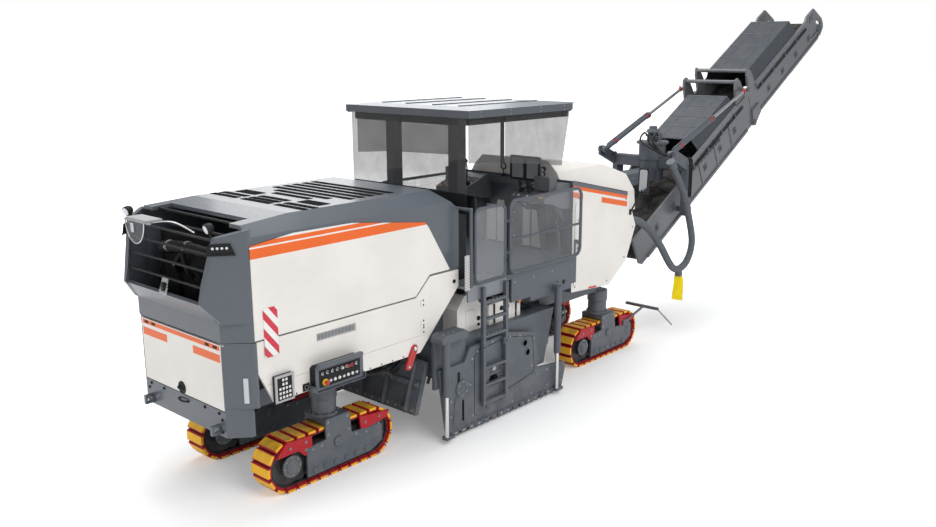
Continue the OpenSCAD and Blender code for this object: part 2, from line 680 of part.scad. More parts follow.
// Crowned cover plates over the belt
module cover(u0, u1, h) {
  w = conv_half - conv_t;
  difference() {
    along([[-w, conv_d - 100], [-w, conv_d + 10], [-400, h], [400, h], [w, conv_d + 10], [w, conv_d - 100]], u0, u1);
    along([[-w + 14, conv_d - 110], [-w + 14, conv_d + 4], [-393, h - 14], [393, h - 14], [w - 14, conv_d + 4],
      [w - 14, conv_d - 110]], u0 - 10, u1 + 10);
  }
}

module conveyor_cover() place() color(dark) conv() cover(2450, low_l - 480, 950);

// Folding tip section with its hoops
module tip_frame() place() color(steel) conv() {
  u0 = low_l + 18;
  u1 = u0 + tip_l;
  both() difference() {
    side([[u0, tip_b], [u1 - 180, tip_b], [u1 - 20, 220], [u1, 300], [u1 - 30, 430], [u1 - 330, conv_d + 60],
      [u1 - 700, conv_d + 60], [u1 - 800, conv_d], [u0, conv_d]], conv_half - conv_t, conv_half);
    for (u = [u1 - 640, u1 - 520]) side([[u, conv_d - 130], [u + 70, conv_d - 130], [u + 110, conv_d], [u + 40, conv_d]],
      conv_half - conv_t - 5, conv_half + 5);
    side([[u1 - 330, 480], [u1 - 150, 330], [u1 - 110, 380], [u1 - 290, 560]], conv_half - conv_t - 5, conv_half + 5);
  }
  both() side([[u0 + 320, conv_d - 60], [u1 - 800, conv_d - 60], [u1 - 800, conv_d], [u0 + 320, conv_d]], conv_half,
    conv_half + 22);
  both() side([[u0 + 320, tip_b], [u1 - 350, tip_b], [u1 - 350, tip_b + 50], [u0 + 320, tip_b + 50]], conv_half,
    conv_half + 22);
  both() side([[u0 + 30, conv_d], [u0 + 330, conv_d], [u0 + 250, hoop_w + 60], [u0 + 160, hoop_w + 170],
    [u0 + 80, hoop_w + 60]], conv_half - conv_t, conv_half);
  bar(u0 + 160, hoop_w + 110, 35, -conv_half + conv_t, conv_half - conv_t);
  for (u = [u0 + 300, u0 + tip_l / 2, u1 - 820]) bar(u, tip_b + 125, 32, -conv_half + conv_t, conv_half - conv_t);
  both() difference() {
    side([[fold_u + 10, 340], [fold_u + 300, 340], [fold_u + 300, tip_b], [fold_u + 50, fold_w - 50],
      [fold_u - 50, fold_w - 50], [fold_u - 50, fold_w + 40]], conv_half, conv_half + 36);
    bar(fold_u, fold_w, fold_r + play, conv_half - 10, conv_half + 50);
  }
}

module tip_belt() place() color(black) conv() {
  inner = conv_half - conv_t;
  u0 = low_l + 18;
  u1 = u0 + tip_l;
  box(u0, u1 - 230, -480, 480, 392, 410);
  box(u0, u1 - 230, -480, 480, tip_b + 20, tip_b + 38);
  bar(u1 - 240, tip_b + 145, 125, -480, 480);
  bar(u1 - 240, tip_b + 145, 45, -inner, inner);
  for (i = [0:4]) bar(u0 + 150 + i * (tip_l - 900) / 4, 350, 48, -inner, inner);
  for (i = [0:2]) bar(u0 + 600 + i * (tip_l - 1500) / 2, tip_b + 78, 45, -inner, inner);
}

module tip_cover() place() color(dark) conv() cover(low_l + 370, low_l + tip_l - 1180, 980);

lift_b = [slew_x - 500, boom_z + 320];
lift_e = [conv_x + eye_u * cos(conv_a) - eye_w * sin(conv_a), conv_z + eye_u * sin(conv_a) + eye_w * cos(conv_a)];
lift_d = (lift_e - lift_b) / norm(lift_e - lift_b);
lift_y = conv_half + 105;
lift_l = norm(lift_e - lift_b);

module lift_barrels() place() color(dark) both() {
  p = [lift_b[0], lift_y, lift_b[1]];
  d = [lift_d[0], 0, lift_d[1]];
  difference() {
    union() {
      rod(p, p + d * 1500, 42);
      bar(lift_b[0], lift_b[1], 55, lift_y - 35, lift_y + 35);
      rod(p + d * 1440, p + d * 1500, 52);
    }
    bar(lift_b[0], lift_b[1], 30 + play, lift_y - 45, lift_y + 45);
    rod(p + d * 200, p + d * 1510, 27 + play);
  }
}

module lift_rods() place() color(steel) both() {
  p = [lift_b[0], lift_y, lift_b[1]];
  d = [lift_d[0], 0, lift_d[1]];
  e = [lift_e[0], lift_y, lift_e[1]];
  difference() {
    union() {
      rod(p + d * 400, e, 27);
      bar(lift_e[0], lift_e[1], 58, lift_y - 30, lift_y + 30);
    }
    bar(lift_e[0], lift_e[1], 30 + eye_play, lift_y - 45, lift_y + 45);
  }
}

// Hose route through hand chosen points
hose_r = 60;
hose_pts = [[6430, -800, 2090], [6690, -845, 2060], [6950, -870, 1930], [7190, -890, 1740], [7400, -900, 1520],
  [7560, -900, 1340], [7717, -900, 1177], [7850, -900, 1089], [8000, -900, 1060], [8156, -900, 1092],
  [8283, -900, 1177], [8371, -900, 1310], [8400, -900, 1460], [8376, -900, 1600], [8300, -895, 1820],
  [8200, -890, 2060], [8080, -885, 2300], [7930, -870, 2540], [7800, -860, 2700], [7740, -855, 2780]];
hose_n = len(hose_pts);
function hose_dir(i) = let (a = hose_pts[max(i - 1, 0)], b = hose_pts[min(i + 1, hose_n - 1)])
  (b - a) / norm(b - a);
function ring(i) = let (t = hose_dir(i), s = cross([0, 1, 0], t), u = s / norm(s), v = cross(t, u))
  [for (k = [0:9]) hose_pts[i] + hose_r * (cos(k * 36) * u + sin(k * 36) * v)];

module hose() place() color(dark) {
  pts = [for (i = [0:hose_n - 1]) each ring(i)];
  sides = [for (i = [0:hose_n - 2]) for (k = [0:9]) [i * 10 + k, (i + 1) * 10 + k, (i + 1) * 10 + (k + 1) % 10,
    i * 10 + (k + 1) % 10]];
  polyhedron(pts, concat(sides, [[for (k = [0:9]) k]], [[for (k = [9:-1:0]) (hose_n - 1) * 10 + k]]));
}

// Drain sleeve under the lowest point of the hose
module drain_sleeve() place() color([0.95, 0.8, 0.05]) {
  low = hose_pts[8][2] - hose_r;
  translate([hose_pts[8][0], hose_pts[8][1], 0]) rotate(-48) {
    post(0, 0, 62, low - 95, low);
    side([[-80, low - 85], [80, low - 85], [92, low - 480], [-96, low - 490]], -16, 16);
  }
}

main_frame();
engine();
radiator();
rear_shell();
side_panels();
drum_housing();
deck();
grating();
side_tanks();
consoles();
railings();
canopy_posts();
canopy_roof();
canopy_glass();
front_body();
front_band();
front_cowl();
slew_boom();
ladder();
control_box();
plate_barrels();
rear_lamps();
mirrors();
tail_flap();
hood_shell();
hood_panels();
hood_grille();
hazard_plates();
drum();
scraper();
side_plate_r();
side_plate_l();
step_r();
step_l();
gate_r();
gate_l();
truck_rr();
track_rr();
truck_rl();
track_rl();
truck_fr();
track_fr();
truck_fl();
track_fl();
slew_frame();
conveyor_frame();
conveyor_belt();
conveyor_cover();
tip_frame();
tip_belt();
tip_cover();
lift_barrels();
lift_rods();
hose();
drain_sleeve();
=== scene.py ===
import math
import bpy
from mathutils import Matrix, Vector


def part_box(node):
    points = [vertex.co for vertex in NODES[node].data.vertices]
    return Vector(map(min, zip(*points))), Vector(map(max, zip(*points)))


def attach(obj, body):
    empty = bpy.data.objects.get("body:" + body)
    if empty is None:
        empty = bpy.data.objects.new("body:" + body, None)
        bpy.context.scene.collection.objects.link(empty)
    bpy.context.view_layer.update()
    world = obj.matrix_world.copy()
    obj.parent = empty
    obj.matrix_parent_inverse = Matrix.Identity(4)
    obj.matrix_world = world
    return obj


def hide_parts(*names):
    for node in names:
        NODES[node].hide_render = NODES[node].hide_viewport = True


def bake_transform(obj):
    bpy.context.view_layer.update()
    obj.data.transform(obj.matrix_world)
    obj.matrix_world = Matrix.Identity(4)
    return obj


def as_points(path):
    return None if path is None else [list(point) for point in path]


bl_info = {
    "name": "Cold planer dress",
    "version": (1, 0, 0),
    "blender": (4, 5, 0),
    "location": "3D View > Sidebar > Planer",
    "description": "Dresses the packed cold planer with paint, hoses, fittings and a studio",
    "category": "Object",
}

import bmesh
import bpy
from mathutils import Matrix, Vector

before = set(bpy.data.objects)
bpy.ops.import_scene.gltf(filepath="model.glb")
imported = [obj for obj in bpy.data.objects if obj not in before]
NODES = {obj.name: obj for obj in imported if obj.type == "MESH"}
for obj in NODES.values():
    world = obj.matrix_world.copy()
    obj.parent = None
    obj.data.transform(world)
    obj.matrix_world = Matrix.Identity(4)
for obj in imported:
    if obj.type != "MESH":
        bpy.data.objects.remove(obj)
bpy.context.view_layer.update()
# The source measures x from the rear track's idler; the row frame has its origin amidships.
MID = 6.66
SIDES = (-1, 1)
X, Y, Z = Vector((1, 0, 0)), Vector((0, 1, 0)), Vector((0, 0, 1))
# Tracks: places of their middles, half the straight run, height of the axles, radius of the shoes' line, shoes
TRACK_X, TRACK_Y = {"r": 0.59, "f": 5.98}, 0.64
RUN, AXLE_Z, LOOP_R, SHOES = 0.59, 0.305, 0.285, 28
SHOE_PITCH = (4 * RUN + 2 * math.pi * LOOP_R) / SHOES
# Radius at which a turned piece closes, and the room under what lies on a face
POINT, LAID = 0.001, 0.0003
# Clear panel in a gate's frame: how far its look reaches from its middle plane
PANE_HALF = 0.0045


def at(x, y, z):
    """A point measured from the rear idler, in the row frame."""
    return Vector((x - MID, y, z))


# Mesh tools


def new(count):
    """That many empty meshes."""
    return (bmesh.new() for _ in range(count))


def smooth_path(points, steps):
    """Points of a smooth curve through the given points."""
    pts = [Vector(p) for p in points]
    out = []
    for i in range(len(pts) - 1):
        p0, p1, p2, p3 = pts[max(i - 1, 0)], pts[i], pts[i + 1], pts[min(i + 2, len(pts) - 1)]
        for k in range(steps):
            t = k / steps
            out.append(
                0.5 * (2 * p1 + (p2 - p0) * t + (2 * p0 - 5 * p1 + 4 * p2 - p3) * t * t
                       + (3 * p1 - p0 - 3 * p2 + p3) * t ** 3)
            )
    return out + [pts[-1]]


def path_length(points):
    return sum((b - a).length for a, b in zip(points, points[1:]))


def around(centre, r, u, v, count, first=0.0):
    """Points on a circle in the plane of two directions."""
    angles = (first + 2 * math.pi * k / count for k in range(count))
    return [centre + r * (math.cos(a) * u + math.sin(a) * v) for a in angles]


def skin(bm, rings):
    """Faces between each ring of corners and the next."""
    for a, b in zip(rings, rings[1:]):
        for k in range(len(a)):
            j = (k + 1) % len(a)
            bm.faces.new((a[k], a[j], b[j], b[k]))


def tube(bm, points, radius, sides=10, caps=True):
    """A round tube along a path; radius is a number or a function of the way along."""
    rings, way, last = [], 0.0, None
    for i, p in enumerate(points):
        way += (p - points[i - 1]).length if i else 0.0
        t = (points[min(i + 1, len(points) - 1)] - points[max(i - 1, 0)]).normalized()
        u = t.cross(Z if abs(t.z) < 0.9 else Y)
        if last is not None and u.dot(last) < 0:
            u = -u
        u.normalize()
        last = u
        r = radius(way) if callable(radius) else radius
        rings.append([bm.verts.new(c) for c in around(p, r, u, t.cross(u), sides)])
    skin(bm, rings)
    if caps:
        bm.faces.new(rings[0])
        bm.faces.new(rings[-1])


def run(bm, points, r, steps=5, sides=8, side=1):
    """A smooth pipe through points measured from the rear idler, mirrored for a side."""
    tube(bm, smooth_path([at(x, y * side, z) for x, y, z in points], steps), r, sides)


def block(bm, low, high, edge=0.004, turn=None):
    """A box between two corners with its edges rounded; turn is a matrix about its middle."""
    low, high = Vector(low), Vector(high)
    mid, size = (low + high) / 2, high - low
    made = bmesh.ops.create_cube(bm, size=1.0)["verts"]
    for v in made:
        v.co = Vector((v.co.x * size.x, v.co.y * size.y, v.co.z * size.z))
        v.co = mid + (turn @ v.co if turn else v.co)
    edges = {e for v in made for e in v.link_edges}
    if edge:
        bmesh.ops.bevel(bm, geom=list(edges), offset=min(edge, min(size) * 0.45), segments=2, affect="EDGES")


def slab(bm, xs, ys, zs, edge, side=1):
    """A block by its spans from the rear idler, mirrored for a side."""
    y0, y1 = sorted(y * side for y in ys)
    block(bm, at(xs[0], y0, zs[0]), at(xs[1], y1, zs[1]), edge)


def rect(x0, x1, z0, z1):
    return [(x0, z0), (x1, z0), (x1, z1), (x0, z1)]


def round_rect(x0, x1, z0, z1, r, steps=5):
    """Outline of a rectangle with round corners."""
    out = []
    for cx, cz, first in ((x1 - r, z0 + r, -90), (x1 - r, z1 - r, 0), (x0 + r, z1 - r, 90), (x0 + r, z0 + r, 180)):
        for k in range(steps + 1):
            a = math.radians(first + 90 * k / steps)
            out.append((cx + r * math.cos(a), cz + r * math.sin(a)))
    return out


def plate(bm, outline, origin, across, along, thick, edge=0.003):
    """A flat plate from an outline drawn in two directions, raised by its thickness with a rounded rim."""
    a, b = Vector(across).normalized(), Vector(along).normalized()
    n = a.cross(b)
    base = [bm.verts.new(Vector(origin) + a * p[0] + b * p[1]) for p in outline]
    face = bm.faces.new(base)
    raised = bmesh.ops.extrude_face_region(bm, geom=[face])["geom"]
    moved = [g for g in raised if isinstance(g, bmesh.types.BMVert)]
    bmesh.ops.translate(bm, verts=moved, vec=n * thick)
    if edge:
        rim = [e for f in raised if isinstance(f, bmesh.types.BMFace) for e in f.edges]
        bmesh.ops.bevel(bm, geom=rim, offset=edge, segments=2, affect="EDGES")


def flank(bm, outline, y, side, thick, edge=0.003):
    """A plate drawn in x and z that stands out from a side face."""
    plate(bm, outline, at(0, y * side, 0), X, Z, -thick * side, edge)


def lathe(bm, profile, origin, axis, sides=20):
    """A turned piece: profile is (way along the axis, radius) pairs; one that ends where it began is a ring."""
    n = Vector(axis).normalized()
    u = n.orthogonal().normalized()
    rings = [[bm.verts.new(c) for c in around(Vector(origin) + n * way, max(r, 1e-4), u, n.cross(u), sides)]
             for way, r in profile]
    skin(bm, rings)
    if profile[0] != profile[-1]:
        bm.faces.new(rings[0])
        bm.faces.new(rings[-1])


def knob(bm, origin, axis, r, wall, top, top_r, sides=20, foot=0.0):
    """A round cap: a wall, then a bevel to its flat top."""
    lathe(bm, [(foot, r), (wall, r), (top, top_r), (top, POINT)], origin, axis, sides)


def bolt(bm, origin, axis, r=0.012):
    """A hexagon head on a washer."""
    lathe(bm, [(0, r * 1.55), (r * 0.25, r * 1.55), (r * 0.3, r * 1.5)], origin, axis, 14)
    lathe(bm, [(r * 0.25, r), (r * 0.95, r), (r * 1.1, r * 0.8)], origin, axis, 6)


def side_bolts(bm, spots, y, side, r):
    """Bolts on a side face, at x and z."""
    for x, z in spots:
        bolt(bm, at(x, y * side, z), Y * side, r)


def grow(name, bm, material, body, slot=None):
    """Turns a mesh under way into a piece that rides on a body."""
    bmesh.ops.recalc_face_normals(bm, faces=bm.faces)
    mesh = bpy.data.meshes.new(name)
    bm.to_mesh(mesh)
    bm.free()
    obj = bpy.data.objects.new(name, mesh)
    bpy.context.scene.collection.objects.link(obj)
    mesh.materials.append(bpy.data.materials[material])
    for poly in mesh.polygons:
        poly.use_smooth = True
    mesh.set_sharp_from_angle(angle=math.radians(35))
    if body:
        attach(obj, body)
    return obj


def grow_all(body, *rows):
    """Pieces of one body, each given as name, mesh, material and maybe a slot, which is not used."""
    for name, bm, material, *slot in rows:
        grow(name, bm, material, body, *slot)


# Shader tools


class Net:
    """Short words for building one shader node tree."""

    def __init__(self, tree):
        self.tree = tree

    def put(self, kind, **settings):
        node = self.tree.nodes.new(kind)
        for key, value in settings.items():
            setattr(node, key, value)
        return node

    def feed(self, socket, value):
        if isinstance(value, bpy.types.NodeSocket):
            self.tree.links.new(value, socket)
        elif value is not None:
            socket.default_value = value

    def wire(self, node, **values):
        """Feeds a node's inputs by name, with underscores for spaces."""
        for key, value in values.items():
            self.feed(node.inputs[key.replace("_", " ")], value)
        return node

    def math(self, how, a, b=None, clamp=False):
        node = self.put("ShaderNodeMath", operation=how, use_clamp=clamp)
        self.feed(node.inputs[0], a)
        self.feed(node.inputs[1], b)
        return node.outputs[0]

    def add(self, a, b, clamp=False):
        return self.math("ADD", a, b, clamp)

    def sub(self, a, b):
        return self.math("SUBTRACT", a, b)

    def mul(self, a, b, clamp=False):
        return self.math("MULTIPLY", a, b, clamp)

    def above(self, a, b):
        return self.math("GREATER_THAN", a, b)

    def below(self, a, b):
        return self.math("LESS_THAN", a, b)

    def size(self, a):
        return self.math("ABSOLUTE", a)

    def within(self, value, low, high):
        return self.mul(self.above(value, low), self.below(value, high))

    def reach(self, a, b):
        """Length of a way with these two legs."""
        return self.math("SQRT", self.add(self.mul(a, a), self.mul(b, b)))

    def mix(self, share, a, b):
        node = self.put("ShaderNodeMix", data_type="RGBA")
        for k, value in ((0, share), (6, a), (7, b)):
            self.feed(node.inputs[k], value)
        return node.outputs[2]

    def span(self, value, low, high, out_low=0.0, out_high=1.0):
        node = self.put("ShaderNodeMapRange", interpolation_type="SMOOTHSTEP")
        for socket, v in zip(node.inputs, (value, low, high, out_low, out_high)):
            self.feed(socket, v)
        return node.outputs[0]

    def noise(self, place, scale, detail=3.0, rough=0.55):
        node = self.put("ShaderNodeTexNoise")
        return self.wire(node, Vector=place, Scale=scale, Detail=detail, Roughness=rough).outputs["Fac"]

    def place(self):
        """Row frame coordinates at rest, since each piece's origin is the frame's."""
        return self.put("ShaderNodeTexCoord").outputs["Object"]

    def parts(self, vector):
        return self.wire(self.put("ShaderNodeSeparateXYZ"), Vector=vector).outputs

    def upward(self):
        """How far the surface faces the sky."""
        return self.parts(self.put("ShaderNodeNewGeometry").outputs["Normal"])[2]

    def group(self, name, **values):
        return self.wire(self.put("ShaderNodeGroup", node_tree=bpy.data.node_groups[name]), **values)


COLOUR, NUMBER = "NodeSocketColor", "NodeSocketFloat"


def new_group(name, inputs, outputs):
    """An empty node group with named sockets, as (net, inputs, outputs node)."""
    tree = bpy.data.node_groups.new(name, "ShaderNodeTree")
    for word, kind, value in inputs:
        tree.interface.new_socket(word, in_out="INPUT", socket_type=kind).default_value = value
    for word, kind in outputs:
        tree.interface.new_socket(word, in_out="OUTPUT", socket_type=kind)
    net = Net(tree)
    return net, net.put("NodeGroupInput").outputs, net.put("NodeGroupOutput").inputs


def weather_group():
    """Edge wear, dust near the ground, tone drift and a fine skin for painted metal."""
    net, i, o = new_group(
        "weathering",
        [("Paint", COLOUR, (0.1, 0.1, 0.1, 1)), ("Bare", COLOUR, (0.3, 0.3, 0.3, 1)),
         ("Dust", COLOUR, (0.45, 0.41, 0.36, 1)), ("Wear", NUMBER, 0.3), ("Dusting", NUMBER, 0.3),
         ("Gloss", NUMBER, 0.35), ("Skin", NUMBER, 160.0)],
        [("Colour", COLOUR), ("Roughness", NUMBER), ("Height", NUMBER)],
    )
    place = net.place()
    broad, fine, grain = net.noise(place, 1.7, 4), net.noise(place, 26, 5), net.noise(place, i["Skin"], 2)
    shape = net.put("ShaderNodeNewGeometry")
    edge = net.wire(net.put("ShaderNodeBevel", samples=4), Radius=0.007)
    dot = net.put("ShaderNodeVectorMath", operation="DOT_PRODUCT")
    net.feed(dot.inputs[0], edge.outputs[0])
    net.feed(dot.inputs[1], shape.outputs["Normal"])
    rim = net.span(dot.outputs["Value"], 0.97, 0.80)
    worn = net.mul(net.mul(rim, net.span(fine, 0.42, 0.66)), i["Wear"], True)
    low = net.span(net.parts(place)[2], 1.5, 0.05)
    lying = net.span(net.parts(shape.outputs["Normal"])[2], 0.5, 1.0, 0.0, 0.35)
    film = net.mul(net.add(low, lying), net.span(net.noise(place, 5.5, 6, 0.65), 0.36, 0.7))
    film = net.mul(film, i["Dusting"], True)
    paint = net.put("ShaderNodeVectorMath", operation="SCALE")
    net.feed(paint.inputs[0], i["Paint"])
    net.wire(paint, Scale=net.span(broad, 0.3, 0.7, 0.965, 1.035))
    net.feed(o["Colour"], net.mix(film, net.mix(worn, paint.outputs[0], i["Bare"]), i["Dust"]))
    rough = net.add(i["Gloss"], net.span(fine, 0.3, 0.7, -0.03, 0.03))
    net.feed(o["Roughness"], net.add(rough, net.mul(film, 0.4), True))
    net.feed(o["Height"], net.sub(grain, net.mul(worn, 1.5)))


def band_group():
    """Two orange bands on white, under a top line that may slope; a blank run breaks the wide one."""
    net, i, o = new_group(
        "twin_bands",
        [("White", COLOUR, (0.8, 0.77, 0.74, 1)), ("Orange", COLOUR, (0.83, 0.13, 0.03, 1)), ("Way", NUMBER, 0.0),
         ("Height", NUMBER, 0.0), ("Top", NUMBER, 2.0), ("Slope", NUMBER, 0.0), ("Thin", NUMBER, 0.05),
         ("Gap", NUMBER, 0.035), ("Wide", NUMBER, 0.08), ("Blank From", NUMBER, 9.0), ("Blank To", NUMBER, 9.1),
         ("From", NUMBER, -99.0), ("To", NUMBER, 99.0), ("Back", NUMBER, -99.0),
         ("Back Paint", COLOUR, (0.1, 0.1, 0.1, 1))],
        [("Colour", COLOUR)],
    )
    drop = net.sub(net.add(i["Top"], net.mul(i["Way"], i["Slope"])), i["Height"])
    thin = net.within(drop, 0.0, i["Thin"])
    edge = net.add(i["Thin"], i["Gap"])
    wide = net.within(drop, edge, net.add(edge, i["Wide"]))
    wide = net.mul(wide, net.sub(1.0, net.within(i["Way"], i["Blank From"], i["Blank To"])))
    banded_at = net.mul(net.math("MAXIMUM", thin, wide), net.within(i["Way"], i["From"], i["To"]))
    bands = net.mix(banded_at, i["White"], i["Orange"])
    net.feed(o["Colour"], net.mix(net.below(i["Way"], i["Back"]), bands, i["Back Paint"]))


def rgb(colour, times=1.0):
    return (*(c * times for c in colour[:3]), 1.0)


def fresh(name, colour):
    """A new material, as (material, net, shader)."""
    mat = bpy.data.materials.new(name)
    mat.use_nodes = True
    mat.diffuse_color = rgb(colour)
    return mat, Net(mat.node_tree), mat.node_tree.nodes["Principled BSDF"]


def rod_mask(net, rods):
    """One within the upright rods of a list, on both sides of the machine."""
    x, y, z = net.parts(net.place())
    total = None
    for rx, ry, r, low in rods:
        away = net.reach(net.sub(x, rx), net.sub(net.size(y), ry))
        one = net.mul(net.below(away, r), net.above(z, low))
        total = one if total is None else net.math("MAXIMUM", total, one)
    return total


def sheet_mask(net, span_x, span_z, at_y):
    """One on the clear panel within a gate's frame."""
    x, y, z = net.parts(net.place())
    inside = net.below(net.size(net.sub(net.size(y), at_y)), PANE_HALF)
    for value, (low, high) in ((x, span_x), (z, span_z)):
        inside = net.mul(inside, net.within(value, low, high))
    return inside


def painted(name, colour, gloss=0.35, metal=0.0, coat=0.0, wear=0.3, dust=0.3, bare=(0.34, 0.33, 0.32), bump=0.04,
            grain=160.0, rounding=0.004, spec=0.5, tint=None, chrome=None, sheet=None):
    """A weathered finish. tint is a function that returns the paint's colour socket, chrome lists upright rods
    (x, y, radius, from z) left bare and bright, sheet is (x span, z span, y) of a clear panel in a frame."""
    _, net, shader = fresh(name, colour)
    film = net.group("weathering", Paint=tint(net) if tint else rgb(colour), Bare=rgb(bare), Wear=wear,
                     Dusting=dust, Gloss=gloss, Skin=grain)
    tone, rough = film.outputs["Colour"], film.outputs["Roughness"]
    net.wire(shader, Metallic=metal, Specular_IOR_Level=spec, Coat_Weight=coat, Coat_Roughness=0.12)
    if chrome:
        bright = rod_mask(net, chrome)
        tone = net.mix(bright, tone, (0.7, 0.71, 0.72, 1))
        rough = net.mul(rough, net.sub(1.0, net.mul(bright, 0.65)))
        net.wire(shader, Metallic=bright)
    if sheet:
        clear = sheet_mask(net, *sheet)
        tone = net.mix(clear, tone, (0.5, 0.52, 0.55, 1))
        rough = net.mul(rough, net.sub(1.0, net.mul(clear, 0.85)))
        net.wire(shader, Alpha=net.sub(1.0, net.mul(clear, 0.8)))
    relief = net.wire(net.put("ShaderNodeBump"), Strength=bump, Distance=0.01, Height=film.outputs["Height"])
    if rounding:
        soft = net.wire(net.put("ShaderNodeBevel", samples=4), Radius=rounding)
        net.wire(relief, Normal=soft.outputs[0])
    net.wire(shader, Base_Color=tone, Roughness=rough, Normal=relief.outputs[0])


def banded(s, kind, **values):
    """Paint source for a white panel with its bands, along x or y."""
    def tint(net):
        place = net.parts(net.place())
        return net.group("twin_bands", White=rgb(s.white), Orange=rgb(s.orange), Way=place["XY".index(kind)],
                         Height=place[2], **values).outputs[0]
    return tint


def chevrons(net):
    """Paint source for the slanted red and white marker plates."""
    x, _, z = net.parts(net.place())
    wave = net.math("FRACT", net.math("DIVIDE", net.add(net.mul(x, 1.25), z), 0.185))
    return net.mix(net.above(wave, 0.5), (0.85, 0.84, 0.83, 1), (0.62, 0.02, 0.045, 1))


def shoe_tint(s, centre):
    """Paint source for a track: a yellow pad on each shoe, red bases and dark gaps between them; pads that face upward
    go brown, for dirt and painted shade.
    """
    def tint(net):
        x, _, z = net.parts(net.place())
        x, up = net.sub(x, centre), net.sub(z, AXLE_Z)
        flat = net.math("MINIMUM", net.math("MAXIMUM", x, -RUN), RUN)
        over = net.sub(x, flat)
        out = net.reach(over, up)
        # Way along the loop, in shoes: half at the middle of each
        back = net.mul(net.below(up, 0.0), net.above(x, -RUN))
        along = net.add(net.add(flat, RUN), net.mul(back, net.sub(2 * RUN, net.mul(flat, 2.0))))
        along = net.add(along, net.mul(net.math("ARCTAN2", over, up), LOOP_R))
        shoe = net.math("FRACT", net.add(net.math("DIVIDE", along, SHOE_PITCH), 50.5))
        off = net.size(net.sub(shoe, 0.5))
        base = net.mix(net.above(out, 0.25), (0.02, 0.02, 0.024, 1), rgb(s.shoe_red))
        base = net.mix(net.span(off, 0.42, 0.47), base, (0.03, 0.004, 0.006, 1))
        pad = net.mul(net.above(out, 0.278), net.below(off, 0.325))
        # Brown on pads that face upward: dirt and painted shade.
        soil_and_shade = net.mul(net.span(net.upward(), 0.2, 0.85), net.span(net.noise(net.place(), 9, 4), 0.3, 0.65, 0.1, 0.6))
        return net.mix(pad, base, net.mix(soil_and_shade, rgb(s.pad_yellow), (0.3, 0.16, 0.03, 1)))
    return tint


def truck_shade_tint(s):
    """Paint source for the track frames: grey plates outside, and near-black painted shade on the wheels and inner
    frames between them, below 0.6 m.
    """
    def tint(net):
        _, y, z = net.parts(net.place())
        off = net.size(net.sub(net.size(y), TRACK_Y))
        # Painted shade: near black between the frame plates, low down.
        return net.mix(net.mul(net.below(off, 0.152), net.below(z, 0.6)), rgb(s.grey), (0.016, 0.016, 0.018, 1))
    return tint


def roof_highlight_tint(s):
    """Paint source for the canopy roof: paler on top, where it faces the sky, as a painted highlight that stands for
    the sky's reflection.
    """
    # Painted highlight: the roof goes from 0.8 to 1.7 times the body grey as it faces the sky.
    return lambda net: net.mix(net.span(net.upward(), 0.3, 0.9), rgb(s.grey, 0.8), rgb(s.grey, 1.7))


def make_glass(name, colour, alpha, rough=0.04):
    mat, net, shader = fresh(name, colour)
    place = net.place()
    streak = net.noise(place, 3.0, 5, 0.6)
    net.wire(shader, Base_Color=net.mix(net.span(streak, 0.35, 0.7), rgb(colour), rgb(colour, 1.15)),
             Alpha=net.span(streak, 0.3, 0.75, alpha * 0.92, alpha * 1.08), IOR=1.45,
             Roughness=net.span(net.noise(place, 14, 4), 0.3, 0.8, rough, rough + 0.06))
    mat.diffuse_color = (*colour, alpha)


def make_lens(name, colour, glow):
    """A lamp lens with ribs and a faint glow; on the red reflectors, which are no lamps, the glow is painted light."""
    _, net, shader = fresh(name, colour)
    ribs = net.wire(net.put("ShaderNodeTexWave"), Scale=40.0, Vector=net.place())
    tone = net.mix(ribs.outputs["Fac"], rgb(colour, 0.7), rgb(colour))
    net.wire(shader, Base_Color=tone, Emission_Color=tone, Emission_Strength=glow, Roughness=0.12)


# Settings


def paint_prop(name, description, default):
    return bpy.props.FloatVectorProperty(name=name, description=description, subtype="COLOR", size=3, min=0, max=1,
                                         default=default)


class PlanerLook(bpy.types.PropertyGroup):
    """Colours of the machine's finishes."""

    grey: paint_prop("Body grey", "Blue grey of the shell, frame and plates", (0.088, 0.102, 0.122))
    white: paint_prop("Panel white", "Warm white of the panels", (0.82, 0.785, 0.745))
    orange: paint_prop("Band orange", "Bands along the white panels", (0.83, 0.135, 0.012))
    pad_yellow: paint_prop("Pad yellow", "Pads of the tracks", (0.98, 0.53, 0.025))
    shoe_red: paint_prop("Shoe red", "Shoe bases and track guards", (0.46, 0.008, 0.018))
    steel: paint_prop("Conveyor grey", "Lighter grey of the conveyor's side plates", (0.135, 0.142, 0.158))


class PlanerSizes(bpy.types.PropertyGroup):
    """Sizes of the added pieces and of the studio."""

    hose_d: bpy.props.FloatProperty(
        name="Hose diameter", description="Outer diameter of the suction hose", default=0.12, min=0.06, max=0.12,
        unit="LENGTH")
    pitch: bpy.props.FloatProperty(
        name="Hose rib pitch", description="Distance between the ribs of the hose", default=0.03, min=0.015, max=0.06,
        unit="LENGTH")
    lens: bpy.props.FloatProperty(
        name="Lens", description="Focal length of the camera", default=35.212, min=15, max=120, unit="CAMERA")
    key: bpy.props.FloatProperty(
        name="Key light", description="Power of the large soft light", default=1090.0, min=0, max=9000, unit="POWER")
    sky: bpy.props.FloatProperty(
        name="Sky", description="Strength of the light from all round", default=0.48, min=0, max=2)


class PieceOperator:
    """Shared words of the operators below."""

    bl_options = {"REGISTER", "UNDO"}

    def execute(self, context):
        self.build(context.scene.planer_look, context.scene.planer_sizes)
        return {"FINISHED"}


# The reference view: where the camera stands, and its yaw, pitch and roll in degrees
VIEW_FROM, VIEW_TURN = at(-5.464, -8.327, 4.683), (42.2, 13.23, 0.24)


